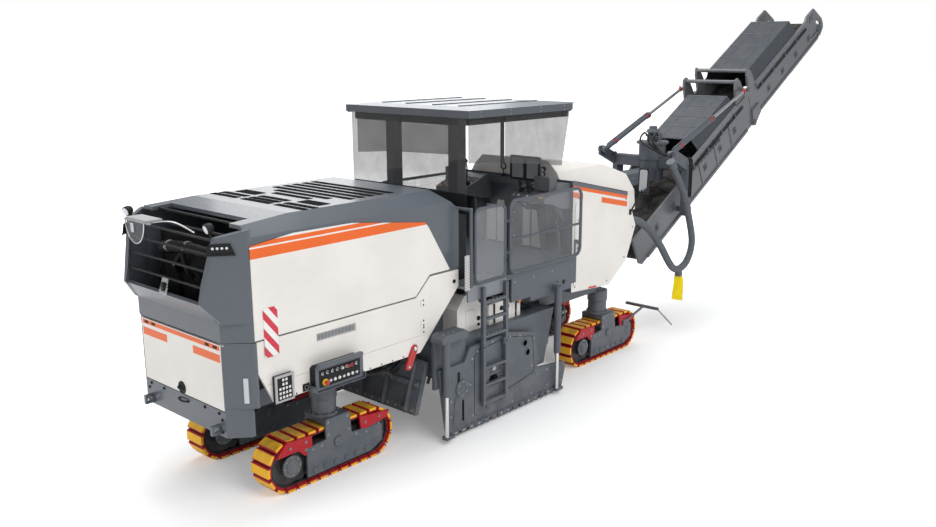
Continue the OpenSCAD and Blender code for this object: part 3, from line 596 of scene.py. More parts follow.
class PLANER_OT_camera(PieceOperator, bpy.types.Operator):
    """Stands the camera at the height and angle of the reference view"""

    bl_idname = "planer.camera"
    bl_label = "Camera"

    def build(self, s, z):
        data = bpy.data.cameras.new("view_camera")
        data.lens = z.lens
        data.sensor_width = 36.0
        data.clip_end = 400.0
        cam = bpy.data.objects.new("view_camera", data)
        bpy.context.scene.collection.objects.link(cam)
        yaw, pitch, roll = (math.radians(a) for a in VIEW_TURN)
        ahead = Vector((math.cos(pitch) * math.cos(yaw), math.cos(pitch) * math.sin(yaw), -math.sin(pitch)))
        turn = Matrix.Rotation(roll, 4, ahead) @ ahead.to_track_quat("-Z", "Y").to_matrix().to_4x4()
        cam.matrix_world = Matrix.Translation(VIEW_FROM) @ turn
        bpy.context.scene.camera = cam


HOSE_ROUTE = [
    at(*p) for p in (
        (6.43, -0.8, 2.09), (6.69, -0.845, 2.06), (6.95, -0.87, 1.93), (7.19, -0.89, 1.74), (7.4, -0.9, 1.52),
        (7.56, -0.9, 1.34), (7.717, -0.9, 1.177), (7.85, -0.9, 1.089), (8.0, -0.9, 1.06), (8.156, -0.9, 1.092),
        (8.283, -0.9, 1.177), (8.371, -0.9, 1.31), (8.4, -0.9, 1.46), (8.376, -0.9, 1.6), (8.3, -0.895, 1.82),
        (8.2, -0.89, 2.06), (8.08, -0.885, 2.3), (7.93, -0.87, 2.54), (7.8, -0.86, 2.7), (7.74, -0.855, 2.78))]
HOSE_LOW = HOSE_ROUTE[8]


class PLANER_OT_hose(PieceOperator, bpy.types.Operator):
    """Ribbed suction hose between the front body and the slewing frame, with its drain sleeve"""

    bl_idname = "planer.hose"
    bl_label = "Suction hose"

    def build(self, s, z):
        route = smooth_path(HOSE_ROUTE, 4)
        length = path_length(route)
        r = z.hose_d / 2
        first, last = HOSE_ROUTE[0], HOSE_ROUTE[-1]
        low, top = HOSE_LOW, HOSE_LOW.z - r
        ribbed, turned, cloth = new(3)
        tube(ribbed, smooth_path(HOSE_ROUTE, 34),
             lambda w: r * (0.945 + 0.055 * math.cos(2 * math.pi * w / z.pitch)), 20)
        hose = grow("suction_hose", ribbed, "hose_rubber", None, "rubber")
        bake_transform(hose)
        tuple(first)
        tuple(last)
        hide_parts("hose")
        lathe(turned, [(-0.035, 0.05), (0.0, 0.062), (0.03, 0.062), (0.034, 0.066), (0.048, 0.066), (0.052, 0.062),
                       (0.062, 0.06), (0.062, 0.05)], (low.x, low.y, top), -Z, 28)
        collar = grow("drain_collar", turned, "hose_rubber", None, "rubber")
        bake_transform(collar)
        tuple(first)
        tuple(last)
        # A flat fabric sleeve: its section is a thin lens, turned to the side, that creases on the way down.
        rows, across, drop = 26, 28, 0.428
        wide_at, deep_at = Vector((0.669, -0.743, 0)), Vector((0.743, 0.669, 0))
        loops = []
        for k in range(rows + 1):
            f = k / rows
            wide = 0.067 + 0.012 * min(1.0, f * 4.0) + 0.014 * f
            deep = 0.058 * (1 - min(1.0, f * 5.0)) + 0.011 * min(1.0, f * 5.0)
            sway = 0.006 * math.sin(f * 5.0) + 0.004 * f
            ring = []
            for j in range(across):
                a = 2 * math.pi * j / across
                crease = 0.005 * math.sin(3 * a + 7 * f) * min(1.0, f * 3)
                spot = low + wide_at * (wide * math.cos(a) + sway) + deep_at * (deep * math.sin(a) + crease)
                ring.append(cloth.verts.new((spot.x, spot.y, top - 0.052 - drop * f - 0.014 * f * math.cos(a))))
            loops.append(ring)
        skin(cloth, loops)
        sleeve = grow("drain_fabric", cloth, "sleeve_fabric", None, "sleeve")
        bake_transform(sleeve)
        tuple(first)
        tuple(last)
        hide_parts("drain_sleeve")
        tuple(first)
        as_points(route)


# Which solids take which finish
FINISH = {
    "frame_grey": "main_frame drum_housing deck ladder plate_barrels scraper step_r step_l slew_boom slew_frame"
                  " lift_barrels railings",
    "truck_grey": "truck_rr truck_rl truck_fr truck_fl", "plate_grey": "side_plate_r side_plate_l",
    "gate_grey": "gate_r gate_l", "shell_grey": "rear_shell hood_shell front_band", "roof_grey": "canopy_roof",
    "cover_grey": "conveyor_cover tip_cover", "conveyor_grey": "conveyor_frame tip_frame",
    "panel_white": "side_panels front_cowl side_tanks", "hood_white": "hood_panels", "flap_white": "tail_flap",
    "front_white": "front_body", "console_grey": "consoles", "matt_black": "control_box mirrors hood_grille",
    "post_black": "canopy_posts", "engine_black": "engine radiator", "belt_rubber": "conveyor_belt tip_belt",
    "hose_rubber": "hose", "sleeve_fabric": "drain_sleeve", "bright_steel": "lift_rods", "lamp_lens": "rear_lamps",
    "tread_steel": "grating", "drum_steel": "drum", "marker_plate": "hazard_plates", "tinted_glass": "canopy_glass",
    "track_rear": "track_rr track_rl", "track_front": "track_fr track_fl",
}


class PLANER_OT_paint(PieceOperator, bpy.types.Operator):
    """Makes every finish and puts it on the solids of the frame"""

    bl_idname = "planer.paint"
    bl_label = "Paint and finishes"

    def build(self, s, z):
        weather_group()
        band_group()
        self.body_paint(s)
        self.small_finishes(s)
        left = set(NODES) - set(" ".join(FINISH.values()).split())
        if left:
            raise RuntimeError(f"no finish for {sorted(left)}")
        for material, names in FINISH.items():
            for n in names.split():
                NODES[n].data.materials.clear()
                NODES[n].data.materials.append(bpy.data.materials[material])

    def body_paint(self, s):
        """Greys of the shell and frame, and whites with their bands."""
        grey = s.grey
        painted("shell_grey", grey, gloss=0.36, coat=0.25, wear=0.35, dust=0.06, bump=0.012)
        # The roof's paint carries a painted highlight on its top.
        painted("roof_grey", grey, gloss=0.34, coat=0.2, wear=0.35, dust=0.05, bump=0.012, tint=roof_highlight_tint(s))
        painted("frame_grey", grey, gloss=0.46, wear=0.35, dust=0.16, bump=0.08)
        painted("truck_grey", grey, gloss=0.4, wear=0.35, dust=0.1, bump=0.02, tint=truck_shade_tint(s))
        rods = [(x - MID, 1.205, 0.0266, 0.1) for x in (2.0, 4.2)]
        painted("plate_grey", grey, gloss=0.46, wear=0.35, dust=0.16, bump=0.08, chrome=rods)
        painted("gate_grey", grey, gloss=0.5, wear=0.4, dust=0.15, bump=0.1,
                sheet=((2.548 - MID, 3.067 - MID), (1.93, 2.8), 1.2))
        painted("cover_grey", rgb(grey, 0.62), gloss=0.5, wear=0.5, dust=0.18, bump=0.08)
        painted("conveyor_grey", s.steel, gloss=0.36, coat=0.15, wear=0.5, dust=0.12, bump=0.015)
        white = dict(colour=s.white, gloss=0.34, coat=0.1, bump=0.004, spec=0.35, wear=0.08, bare=(0.5, 0.48, 0.46))
        painted("panel_white", **white, dust=0.03)
        painted("hood_white", **white, dust=0.02, tint=banded(s, "X", Top=2.874, Thin=0.045, Gap=0.017, Wide=0.101))
        painted("flap_white", **white, dust=0.03,
                tint=banded(s, "Y", Top=1.835, Thin=0.05, Gap=0.04, Wide=0.085, Blank_From=-0.25, Blank_To=0.25,
                            From=-0.742, To=0.742))
        slope = (2.545 - 2.851) / (6.106 - 4.711)
        painted("front_white", **white, dust=0.03,
                tint=banded(s, "X", Top=2.851 - slope * (4.711 - MID), Slope=slope, Thin=0.05, Gap=0.038, Wide=0.08,
                            Blank_From=4.95 - MID, Blank_To=5.41 - MID, From=4.712 - MID, To=6.085 - MID,
                            Back=4.715 - MID, Back_Paint=rgb(grey)))

    def small_finishes(self, s):
        """Plastics, rubber, bare steel, tracks, glass and lenses."""
        painted("matt_black", (0.011, 0.0115, 0.0125), gloss=0.55, spec=0.25, wear=0.15, dust=0.12, bump=0.12,
                grain=320.0, bare=(0.09, 0.09, 0.09))
        painted("console_grey", (0.11, 0.118, 0.13), gloss=0.5, wear=0.1, dust=0.06, bump=0.15, grain=420.0,
                bare=(0.16, 0.16, 0.16))
        painted("tray_grey", (0.42, 0.42, 0.43), gloss=0.42, wear=0.15, dust=0.06, bump=0.06)
        painted("cap_white", (0.8, 0.79, 0.77), gloss=0.3, wear=0.05, dust=0.03, bump=0.03)
        painted("cap_red", (0.5, 0.012, 0.014), gloss=0.3, coat=0.2, wear=0.15, dust=0.04, bump=0.03)
        painted("cap_yellow", (0.85, 0.5, 0.02), gloss=0.34, wear=0.1, dust=0.05, bump=0.03)
        painted("deep_black", (0.004, 0.004, 0.005), gloss=0.8, spec=0.03, wear=0.0, dust=0.04, bump=0.1,
                bare=(0.02, 0.02, 0.02))
        painted("post_black", (0.012, 0.0125, 0.014), gloss=0.4, spec=0.35, wear=0.1, dust=0.08,
                bare=(0.12, 0.12, 0.12))
        painted("engine_black", (0.008, 0.008, 0.009), gloss=0.55, spec=0.2, wear=0.2, dust=0.04, bump=0.2, grain=90.0,
                bare=(0.06, 0.06, 0.06))
        painted("belt_rubber", (0.016, 0.016, 0.017), gloss=0.72, spec=0.25, wear=0.2, dust=0.5, bump=0.3, grain=60.0,
                bare=(0.06, 0.06, 0.06))
        painted("hose_rubber", (0.1, 0.112, 0.13), gloss=0.55, wear=0.1, dust=0.12, bump=0.1, bare=(0.15, 0.15, 0.15),
                rounding=0.0)
        painted("sleeve_fabric", (1.0, 0.77, 0.004), gloss=0.6, spec=0.2, wear=0.05, dust=0.05, bump=0.5, grain=420.0,
                bare=(0.7, 0.5, 0.05), rounding=0.0)
        painted("bright_steel", (0.55, 0.56, 0.57), gloss=0.22, metal=1.0, wear=0.1, dust=0.08, bump=0.03)
        painted("bolt_steel", (0.3, 0.31, 0.32), gloss=0.34, metal=0.85, wear=0.2, dust=0.2, bump=0.05)
        painted("tread_steel", (0.22, 0.235, 0.26), gloss=0.42, metal=0.35, wear=0.6, dust=0.3, bump=0.12)
        painted("drum_steel", (0.12, 0.115, 0.11), gloss=0.5, metal=0.6, wear=0.8, dust=0.6, bump=0.3, grain=40.0)
        painted("guard_red", s.shoe_red, gloss=0.42, wear=0.35, dust=0.06, bump=0.02, spec=0.3)
        painted("marker_plate", (0.8, 0.1, 0.1), gloss=0.3, wear=0.1, dust=0.05, tint=chevrons, bare=(0.6, 0.58, 0.56))
        for end in ("rear", "front"):
            painted(f"track_{end}", s.pad_yellow, gloss=0.5, wear=0.45, dust=0.05, bump=0.2, grain=70.0, spec=0.25,
                    bare=(0.2, 0.12, 0.05), tint=shoe_tint(s, TRACK_X[end[0]] - MID))
        make_glass("tinted_glass", (0.08, 0.08, 0.082), 0.46)
        make_glass("clear_panel", (0.55, 0.57, 0.6), 0.1)
        painted("mirror_face", (0.42, 0.45, 0.49), gloss=0.08, metal=1.0, wear=0.0, dust=0.02, bump=0.0, rounding=0.0)
        make_lens("amber_lens", (0.9, 0.3, 0.02), 0.15)
        # The red reflectors are no lamps: their glow is painted light.
        make_lens("glowing_red_reflector", (0.7, 0.02, 0.02), 0.1)
        make_lens("screen_face", (0.2, 0.22, 0.235), 0.15)
        make_lens("lamp_lens", (0.66, 0.68, 0.7), 0.03)
        make_lens("led_lens", (0.75, 0.77, 0.8), 0.12)


class PLANER_OT_stage(PieceOperator, bpy.types.Operator):
    """Pale floor, white surround and soft studio lights"""

    bl_idname = "planer.stage"
    bl_label = "Studio"

    def build(self, s, z):
        scene = bpy.context.scene
        scene.view_settings.view_transform = "Standard"
        bm = bmesh.new()
        bmesh.ops.create_grid(bm, x_segments=8, y_segments=8, size=150)
        mesh = bpy.data.meshes.new("studio_floor")
        bm.to_mesh(mesh)
        bm.free()
        floor = bpy.data.objects.new("studio_floor", mesh)
        scene.collection.objects.link(floor)
        # Floor: matt, with a glow for the camera that fades under the machine
        mat, net, shader = fresh("studio_floor", (0.9, 0.9, 0.9))
        net.tree.nodes.remove(shader)
        matte = net.wire(net.put("ShaderNodeBsdfDiffuse"), Color=(0.9, 0.9, 0.9, 1))
        ray = net.put("ShaderNodeLightPath").outputs
        seen = net.math("MAXIMUM", ray["Is Camera Ray"], ray["Is Transmission Ray"])
        seen = net.math("MAXIMUM", seen, net.mul(ray["Is Glossy Ray"], 0.4))
        x, y, _ = net.parts(net.place())
        away = net.reach(net.mul(net.sub(x, at(4.2, 0, 0).x), 0.62), y)
        glow = net.wire(net.put("ShaderNodeEmission"), Strength=net.mul(seen, net.span(away, 2.2, 7.5, 0.2, 1.0)))
        total = net.put("ShaderNodeAddShader")
        net.feed(total.inputs[0], matte.outputs[0])
        net.feed(total.inputs[1], glow.outputs[0])
        net.wire(net.tree.nodes["Material Output"], Surface=total.outputs[0])
        mesh.materials.append(mat)
        # Surround: white where it is seen, softer as a light and in reflections
        world = bpy.data.worlds.new("studio_sky")
        world.use_nodes = True
        scene.world = world
        net = Net(world.node_tree)
        sky = net.wire(net.tree.nodes["Background"], Color=(0.97, 0.985, 1.0, 1), Strength=z.sky)
        back = net.wire(net.put("ShaderNodeBackground"), Color=(1, 1, 1, 1))
        ray = net.put("ShaderNodeLightPath").outputs
        pick = net.put("ShaderNodeMixShader")
        net.feed(pick.inputs[0], net.math("MAXIMUM", ray["Is Camera Ray"], ray["Is Transmission Ray"]))
        net.feed(pick.inputs[1], sky.outputs[0])
        net.feed(pick.inputs[2], back.outputs[0])
        net.wire(net.tree.nodes["World Output"], Surface=pick.outputs[0])
        for name, place, aim, size, share in (
                ("key_light", at(0.5, -13.0, 12.0), at(3.5, 0, 1.5), 9.0, 1.0),
                ("top_light", at(6.0, 3.0, 15.0), at(5.0, 0, 1.0), 12.0, 1.4),
                ("tail_light", at(-13.0, 3.0, 7.0), at(0.0, 0, 1.5), 7.0, 0.36),
                ("far_light", at(17.0, 17.5, 9.0), at(1.5, 0, 3.0), 12.0, 0.7)):
            data = bpy.data.lights.new(name, "AREA")
            data.size = size
            data.energy = z.key * share
            lamp = bpy.data.objects.new(name, data)
            lamp.matrix_world = Matrix.Translation(place) @ (aim - place).to_track_quat("-Z", "Y").to_matrix().to_4x4()
            scene.collection.objects.link(lamp)


class PLANER_OT_track_gear(PieceOperator, bpy.types.Operator):
    """Red guards, hubs, roller caps and fixings of the four track units"""

    bl_idname = "planer.track_gear"
    bl_label = "Track guards and hubs"

    def build(self, s, z):
        rear = [(-0.793, 0.452), (-0.652, 0.605), (-0.32, 0.58), (-0.32, 0.36), (-0.43, 0.38), (-0.51, 0.46)]
        front = [(0.366, 0.58), (0.825, 0.533), (0.785, 0.455), (0.505, 0.42), (0.485, 0.345), (0.39, 0.345)]
        cheek = 0.186  # outer face of a track frame, from the track's middle
        for end in ("rr", "rl", "fr", "fl"):
            mid = at(TRACK_X[end[0]], -TRACK_Y if end[1] == "r" else TRACK_Y, 0)
            guards, fixings, caps = new(3)
            for out in SIDES:
                face = Y * out
                for shape in (rear, front):
                    plate(guards, shape, mid + face * 0.1553, X, Z, -0.0285 * out)
                    cx, cz = (sum(p[k] for p in shape) / len(shape) for k in (0, 1))
                    for dx, dz in ((-0.11, 0.05), (0.1, 0.06), (0.09, -0.03)):
                        bolt(fixings, mid + Vector((cx + dx, out * 0.1835, cz + dz)), face, 0.011)
                for way in SIDES:
                    hub = mid + Vector((way * RUN, out * 0.158, AXLE_Z))
                    lathe(caps, [(0, 0.125), (0.012, 0.125), (0.018, 0.118), (0.018, 0.085), (0.03, 0.08),
                                 (0.036, 0.05), (0.042, 0.045), (0.042, POINT)], hub, face, 28)
                    for spot in around(hub + face * 0.018, 0.1, X, Z, 8):
                        bolt(fixings, spot, face, 0.008)
                for k in range(-2, 4):
                    knob(caps, mid + Vector((k * 0.15, out * cheek, 0.165)), face, 0.034, 0.008, 0.012, 0.026, 16)
                for dx, dz in ((-0.32, 0.42), (-0.2, 0.42), (0.3, 0.4), (0.45, 0.38), (-0.1, 0.66), (0.18, 0.66),
                               (-0.1, 0.52), (0.19, 0.5)):
                    bolt(fixings, mid + Vector((dx, out * cheek, dz)), face, 0.013)
                lathe(caps, [(0, 0.06), (0.016, 0.06), (0.022, 0.05), (0.022, 0.03), (0.03, 0.026), (0.03, POINT)],
                      mid + Vector((0.04, out * cheek, 0.4)), face, 22)
            lathe(caps, [(0.0, 0.165), (0.03, 0.165), (0.036, 0.158), (0.036, 0.142)], mid + Z * 0.70, Z, 32)
            for spot in around(mid + Z * 0.736, 0.153, X, Y, 10):
                bolt(fixings, spot, Z, 0.009)
            grow_all(f"steer_{end}", (f"guards_{end}", guards, "guard_red"),
                     (f"track_bolts_{end}", fixings, "bolt_steel"),
                     (f"track_hubs_{end}", caps, "frame_grey", "dark_paint"))


def grip(bm, y, z, ends, bends, middle):
    """A bent handle on the tail's flat face."""
    run(bm, [(-0.752, y + ends, z), (-0.775, y + bends, z), middle, (-0.775, y - bends, z), (-0.752, y - ends, z)],
        0.011, sides=10)


class PLANER_OT_rear_fittings(PieceOperator, bpy.types.Operator):
    """Lamps, mirror arm, latches, handles and pipes at the tail"""

    bl_idname = "planer.rear_fittings"
    bl_label = "Tail fittings"

    def build(self, s, z):
        self.lamps_and_mirror()
        self.vents()
        self.handles()
        self.cooler()

    def lamps_and_mirror(self):
        """Lamps on the corners, the mirror on its rods and the latch on the lip."""
        dark, bright, lens, clear, white = new(5)
        for side in SIDES:
            # Lamp in a dark trapezoid on the slanted corner plate
            across = Vector((-0.8 * side, -0.601, 0))
            out = across.cross(Z)
            spot = at(-0.752, 0.87 * side, 2.84) + out * 0.001
            plate(dark, [(-0.135, -0.05), (0.135, -0.05), (0.1, 0.045), (-0.1, 0.045)], spot, across, Z, 0.006)
            plate(dark, [(-0.15, -0.072), (0.15, -0.072), (0.135, -0.052), (-0.135, -0.052)], spot, across, Z, 0.012,
                  0.004)
            for k in range(4):
                led = spot + across * (-0.066 + 0.044 * k) + out * 0.0062 + Z * 0.002
                lathe(lens, [(0, 0.013), (0.004, 0.013), (0.006, 0.008), (0.007, POINT)], led, out, 16)
            # Round lamp on a stalk at the top of the corner
            foot = at(-0.76, 0.745 * side, 2.905)
            head = foot + Vector((-0.035, 0.02 * side, 0.12))
            tube(dark, smooth_path([foot, foot + Z * 0.05, head - Vector((-0.01, 0, 0.02))], 4), 0.012)
            aim = Vector((-0.9, -0.1 * side, -0.28))
            lathe(dark, [(-0.05, 0.022), (-0.045, 0.036), (-0.02, 0.05), (0.022, 0.054), (0.03, 0.052), (0.03, 0.046)],
                  head, aim, 24)
            lathe(lens, [(0.026, 0.046), (0.034, 0.04), (0.038, 0.02), (0.039, POINT)], head, aim, 24)
            lathe(bright, [(0, 0.018), (0.02, 0.018), (0.03, 0.01)], foot + Vector((0.03, 0.05 * side, -0.012)), Z, 14)
        # Half round mirror under a pale shelf, carried on two bent rods
        mid = at(-0.93, 0.2, 3.01)
        block(white, mid - Vector((0.09, 0.2, 0.0)), mid + Vector((0.11, 0.22, 0.024)), 0.01)
        block(white, mid - Vector((0.08, 0.25, 0.012)), mid + Vector((-0.05, 0.25, 0.004)), 0.005)
        arc = [(0.185 * math.cos(a), -0.225 * math.sin(a)) for a in (math.pi * k / 20 for k in range(21))]
        plate(clear, arc, mid + Vector((-0.07, 0.04, -0.005)), -Y, Z, 0.014, 0.004)
        tube(bright, [mid + Vector((-0.077, 0.04 - p[0], p[1] - 0.005)) for p in arc], 0.007, 8)
        block(bright, mid + Vector((-0.09, 0.045, -0.12)), mid + Vector((-0.078, 0.105, -0.02)), 0.003)
        for rod in (((-0.02, -0.19, 0.0), (0.06, -0.46, 0.03), (0.17, -0.66, -0.07)),
                    ((-0.02, 0.2, 0.0), (0.07, 0.36, -0.02), (0.17, 0.5, -0.08))):
            tube(bright, smooth_path([mid + Vector(p) for p in rod], 5), 0.007, 8)
        # Latch on the lip
        lip = at(-0.905, -0.03, 2.275)
        plate(bright, [(-0.075, 0), (0.075, 0), (0.055, 0.17), (-0.055, 0.17)], lip, -Y, (0.28, 0, 1), 0.012, 0.004)
        block(dark, lip + Vector((-0.012, -0.03, 0.03)), lip + Vector((0.05, 0.03, 0.12)), 0.006)
        grow_all("hood", ("tail_dark", dark, "matt_black"), ("tail_bright", bright, "bright_steel", "grey_steel"),
                 ("tail_lenses", lens, "led_lens"), ("tail_mirror", clear, "clear_panel"),
                 ("tail_shelf", white, "tray_grey"))

    def vents(self):
        """Black mesh over near-black plates in the louvre slots of the roof: the plates close the slots and are painted
        shade for their dark inside.
        """
        shade_plates, mesh = new(2)

        # Near-black plate that closes a slot: painted shade.
        def shade_plate(x0, x1, y0, y1, r):
            plate(shade_plates, round_rect(x0, x1, y0, y1, r, 3), at(0, 0, 3.0753), X, Y, 0.003, 0.001)

        slots = [(0.74 + 0.145 * i, -h, h) for i, h in enumerate((0.32, 0.48, 0.7, 0.7, 0.7, 0.7, 0.7))]
        slots += [(x, *sorted((a * 0.36, a * 0.85))) for x in (0.27, 0.395) for a in SIDES]
        slots += [(x, -0.25, 0.25) for x in (0.27, 0.38, 0.5)]
        for x, low, high in slots:
            shade_plate(x - 0.014, x + 0.074, low - 0.012, high + 0.012, 0.014)
            for k in range(int((high - low) / 0.05)):
                y = low + 0.02 + 0.05 * k
                tube(mesh, [at(x - 0.006, y, 3.0795), at(x + 0.066, y + 0.02, 3.0795)], 0.0015, 4)
        for a in SIDES:
            shade_plate(0.535, 0.705, *sorted((a * 0.38, a * 0.77)), 0.02)
        grow_all("hood", ("vent_shade_plates", shade_plates, "deep_black"), ("vent_mesh", mesh, "matt_black"))

    def handles(self):
        """Grips, plates and bolts of the flap and of the apron under it."""
        flap, apron = new(2)
        lathe(flap, [(0, 0.07), (0.006, 0.07), (0.01, 0.062), (0.004, 0.05), (0.004, POINT)], at(-0.7505, 0.02, 1.215),
              -X, 28)
        grip(flap, 0.02, 1.215, 0.06, 0.04, (-0.78, 0.02, 1.209))
        for y in (-0.66, -0.52, 0.52, 0.66):
            plate(flap, rect(y - 0.035, y + 0.035, 1.795, 1.824), at(-0.7503, 0, 0), Y, Z, -0.003, 0.001)
        grow("flap_fittings", flap, "matt_black", "tail_flap")
        grip(apron, 0, 1.085, 0.09, 0.06, (-0.782, 0, 1.08))
        spots = [(y, 1.11) for y in (-0.66, -0.4, 0.4, 0.66)]
        for y, h in spots + [(0.71 * side, h) for side in SIDES for h in (0.92, 1.05)]:
            bolt(apron, at(-0.7505, y, h), -X)
        grow("apron_fittings", apron, "matt_black", "chassis")

    def cooler(self):
        """Pipes, clamps and fan guards before the cooler, seen through the tail opening."""
        pipes, clamps, fans = new(3)
        for line, r in (
                ([(-0.5, 0.45, 2.62), (-0.62, 0.4, 2.66), (-0.66, 0.2, 2.7), (-0.64, -0.1, 2.72), (-0.6, -0.35, 2.7),
                  (-0.5, -0.42, 2.66)], 0.06),
                ([(-0.5, 0.3, 2.42), (-0.58, 0.26, 2.46), (-0.6, 0.16, 2.56), (-0.56, 0.1, 2.68)], 0.032),
                ([(-0.5, -0.02, 2.36), (-0.57, 0.0, 2.4), (-0.6, 0.02, 2.5), (-0.62, 0.05, 2.68)], 0.026)):
            run(pipes, line, r, 6, 14)
        for spot, n, r in ((at(-0.655, 0.2, 2.7), (0, 1, 0.06), 0.066), (at(-0.63, -0.1, 2.72), Y, 0.066),
                           (at(-0.585, 0.22, 2.5), (0, 0.6, 1), 0.037)):
            lathe(clamps, [(-0.02, r), (0.02, r)], spot, n)
            bolt(clamps, spot - X * r, -X)
        for y in (-0.46, 0.0, 0.46):
            mid = at(-0.552, y, 2.25)
            for r in (0.2, 0.16, 0.12, 0.08):
                ring = around(mid, r, Y, Z, 32)
                tube(fans, ring + ring[:1], 0.004, 6, caps=False)
            for spoke in zip(around(mid, 0.05, Y, Z, 8), around(mid, 0.2, Y, Z, 8)):
                tube(fans, spoke, 0.004, 6)
        for k in range(30):
            low = 1.32 + 0.048 * k
            for side in SIDES:
                slab(fans, (-0.49, -0.4805), (0.665, 0.68), (low, low + 0.03), 0.002, side)
        grow_all("chassis", ("cooler_pipes", pipes, "engine_black"),
                 ("cooler_clamps", clamps, "bolt_steel", "grey_steel"), ("fan_guards", fans, "engine_black"))


class PLANER_OT_side_fittings(PieceOperator, bpy.types.Operator):
    """Ground control box, meter box, lids, latches and the red lever on the flanks"""

    bl_idname = "planer.side_fittings"
    bl_label = "Flank fittings"

    def build(self, s, z):
        face, black, bright, white, red, yellow, tray = new(7)
        # The boxes are on the right side only
        right, out = -1, -Y
        # Control box: visor, raised bezel, panel, rows of switches and a stop button
        flank(face, [(0.118, 1.198), (0.772, 1.198), (0.772, 1.452), (0.735, 1.492), (0.15, 1.492), (0.118, 1.455)],
              1.1205, right, 0.008, 0.004)
        flank(black, rect(0.16, 0.722, 1.235, 1.425), 1.1285, right, 0.004, 0.002)
        flank(face, [(0.12, 1.462), (0.735, 1.462), (0.735, 1.5), (0.15, 1.5)], 1.1285, right, 0.05, 0.006)
        slab(face, (0.108, 0.78), (1.018, 1.16), (1.19, 1.2), 0.004, right)
        for x in (0.108, 0.77):
            slab(face, (x, x + 0.01), (1.018, 1.16), (1.19, 1.26), 0.003, right)
        for i in range(8):
            spot = at(0.205 + 0.066 * i, -1.1325, 1.385)
            lathe(bright, [(0, 0.021), (0.006, 0.021), (0.008, 0.016), (0.02, 0.015), (0.022, 0.012), (0.022, POINT)],
                  spot, out, 18)
            if i not in (4, 5):
                block(black, spot + Vector((-0.005, -0.034, -0.014)), spot + Vector((0.005, -0.018, 0.014)), 0.003)
        for i in range(7):
            lathe(white if i % 3 else bright,
                  [(0, 0.019), (0.005, 0.019), (0.007, 0.014), (0.012, 0.013), (0.013, POINT)],
                  at(0.31 + 0.06 * i, -1.1325, 1.285), out, 18)
        for x in (0.54, 0.6):
            lathe(red, [(0.006, 0.018), (0.022, 0.019), (0.026, 0.015), (0.026, POINT)], at(x, -1.1325, 1.385), out, 18)
        stop = at(0.235, -1.1325, 1.285)
        knob(yellow, stop, out, 0.038, 0.012, 0.016, 0.034, 24)
        lathe(red, [(0.016, 0.014), (0.03, 0.014), (0.032, 0.026), (0.046, 0.026), (0.052, 0.018), (0.053, POINT)],
              stop, out, 22)
        # Meter box with a keypad
        flank(tray, rect(-0.348, -0.107, 1.19, 1.482), 1.0605, right, 0.006, 0.004)
        flank(black, rect(-0.318, -0.137, 1.215, 1.452), 1.0665, right, 0.002, 0.001)
        for i in range(4):
            for j in range(5):
                if j < 3 or i in (1, 2):
                    slab(white, (-0.302 + 0.04 * i, -0.275 + 0.04 * i), (1.0685, 1.0725),
                         (1.23 + 0.046 * j, 1.258 + 0.046 * j), 0.002, right)
        side_bolts(bright, [(x, h) for x in (-0.334, -0.121) for h in (1.203, 1.469)], 1.0665, right, 0.006)
        # Socket
        flank(black, rect(0.03, 0.112, 1.205, 1.285), 1.0155, right, 0.016, 0.005)
        lathe(bright, [(0.016, 0.026), (0.02, 0.026), (0.02, 0.018), (0.012, 0.016), (0.012, POINT)],
              at(0.071, -1.0155, 1.245), out, 18)
        for side in SIDES:
            way = Y * side
            # Ribbed lid grip and latches
            flank(tray, rect(0.246, 0.774, 1.702, 1.78), 1.0034, side, 0.002, 0.0)
            for i in range(26):
                x = 0.26 + 0.0196 * i
                slab(face, (x, x + 0.008), (1.0055, 1.0095), (1.712, 1.77), 0.0015, side)
            knob(black, at(2.345, 1.0155 * side, 1.95), way, 0.024, 0.008, 0.012, 0.02)
            slab(black, (2.338, 2.352), (1.027, 1.032), (1.938, 1.962), 0.002, side)
            side_bolts(black, [(1.82, h + d) for h in (1.425, 1.51, 1.755) for d in (0.01, 0.065)], 1.0155, side, 0.007)
            # Lever that holds the lower panel shut
            flank(red, [(1.69, 1.31), (1.655, 1.325), (1.61, 1.3), (1.5, 1.085), (1.505, 1.05), (1.56, 1.03),
                        (1.6, 1.05), (1.7, 1.26)], 1.0165, side, 0.022, 0.005)
            knob(bright, at(1.655, 1.0388 * side, 1.275), way, 0.026, 0.007, 0.012, 0.02, 18)
            bolt(bright, at(1.555, 1.0388 * side, 1.075), way, 0.011)
            # Fixings along the lower panel's edge
            side_bolts(black, [(-0.22 + 0.17 * i, 1.212) for i in range(12)], 1.0155, side, 0.006)
        grow_all("chassis", ("box_frames", face, "shell_grey", "dark_paint"), ("box_panels", black, "matt_black"),
                 ("switch_metal", bright, "bright_steel", "grey_steel"), ("switch_caps", white, "cap_white"),
                 ("levers_red", red, "cap_red"), ("stop_ring", yellow, "cap_yellow"), ("trays", tray, "tray_grey"))


def desk_z(x):
    """Height of the sloping top of a desk."""
    return 2.72 + (x - 4.13) * 0.3712


# Direction square to a desk's top
DESK_UP = Vector((-0.3486, 0, 0.9373))


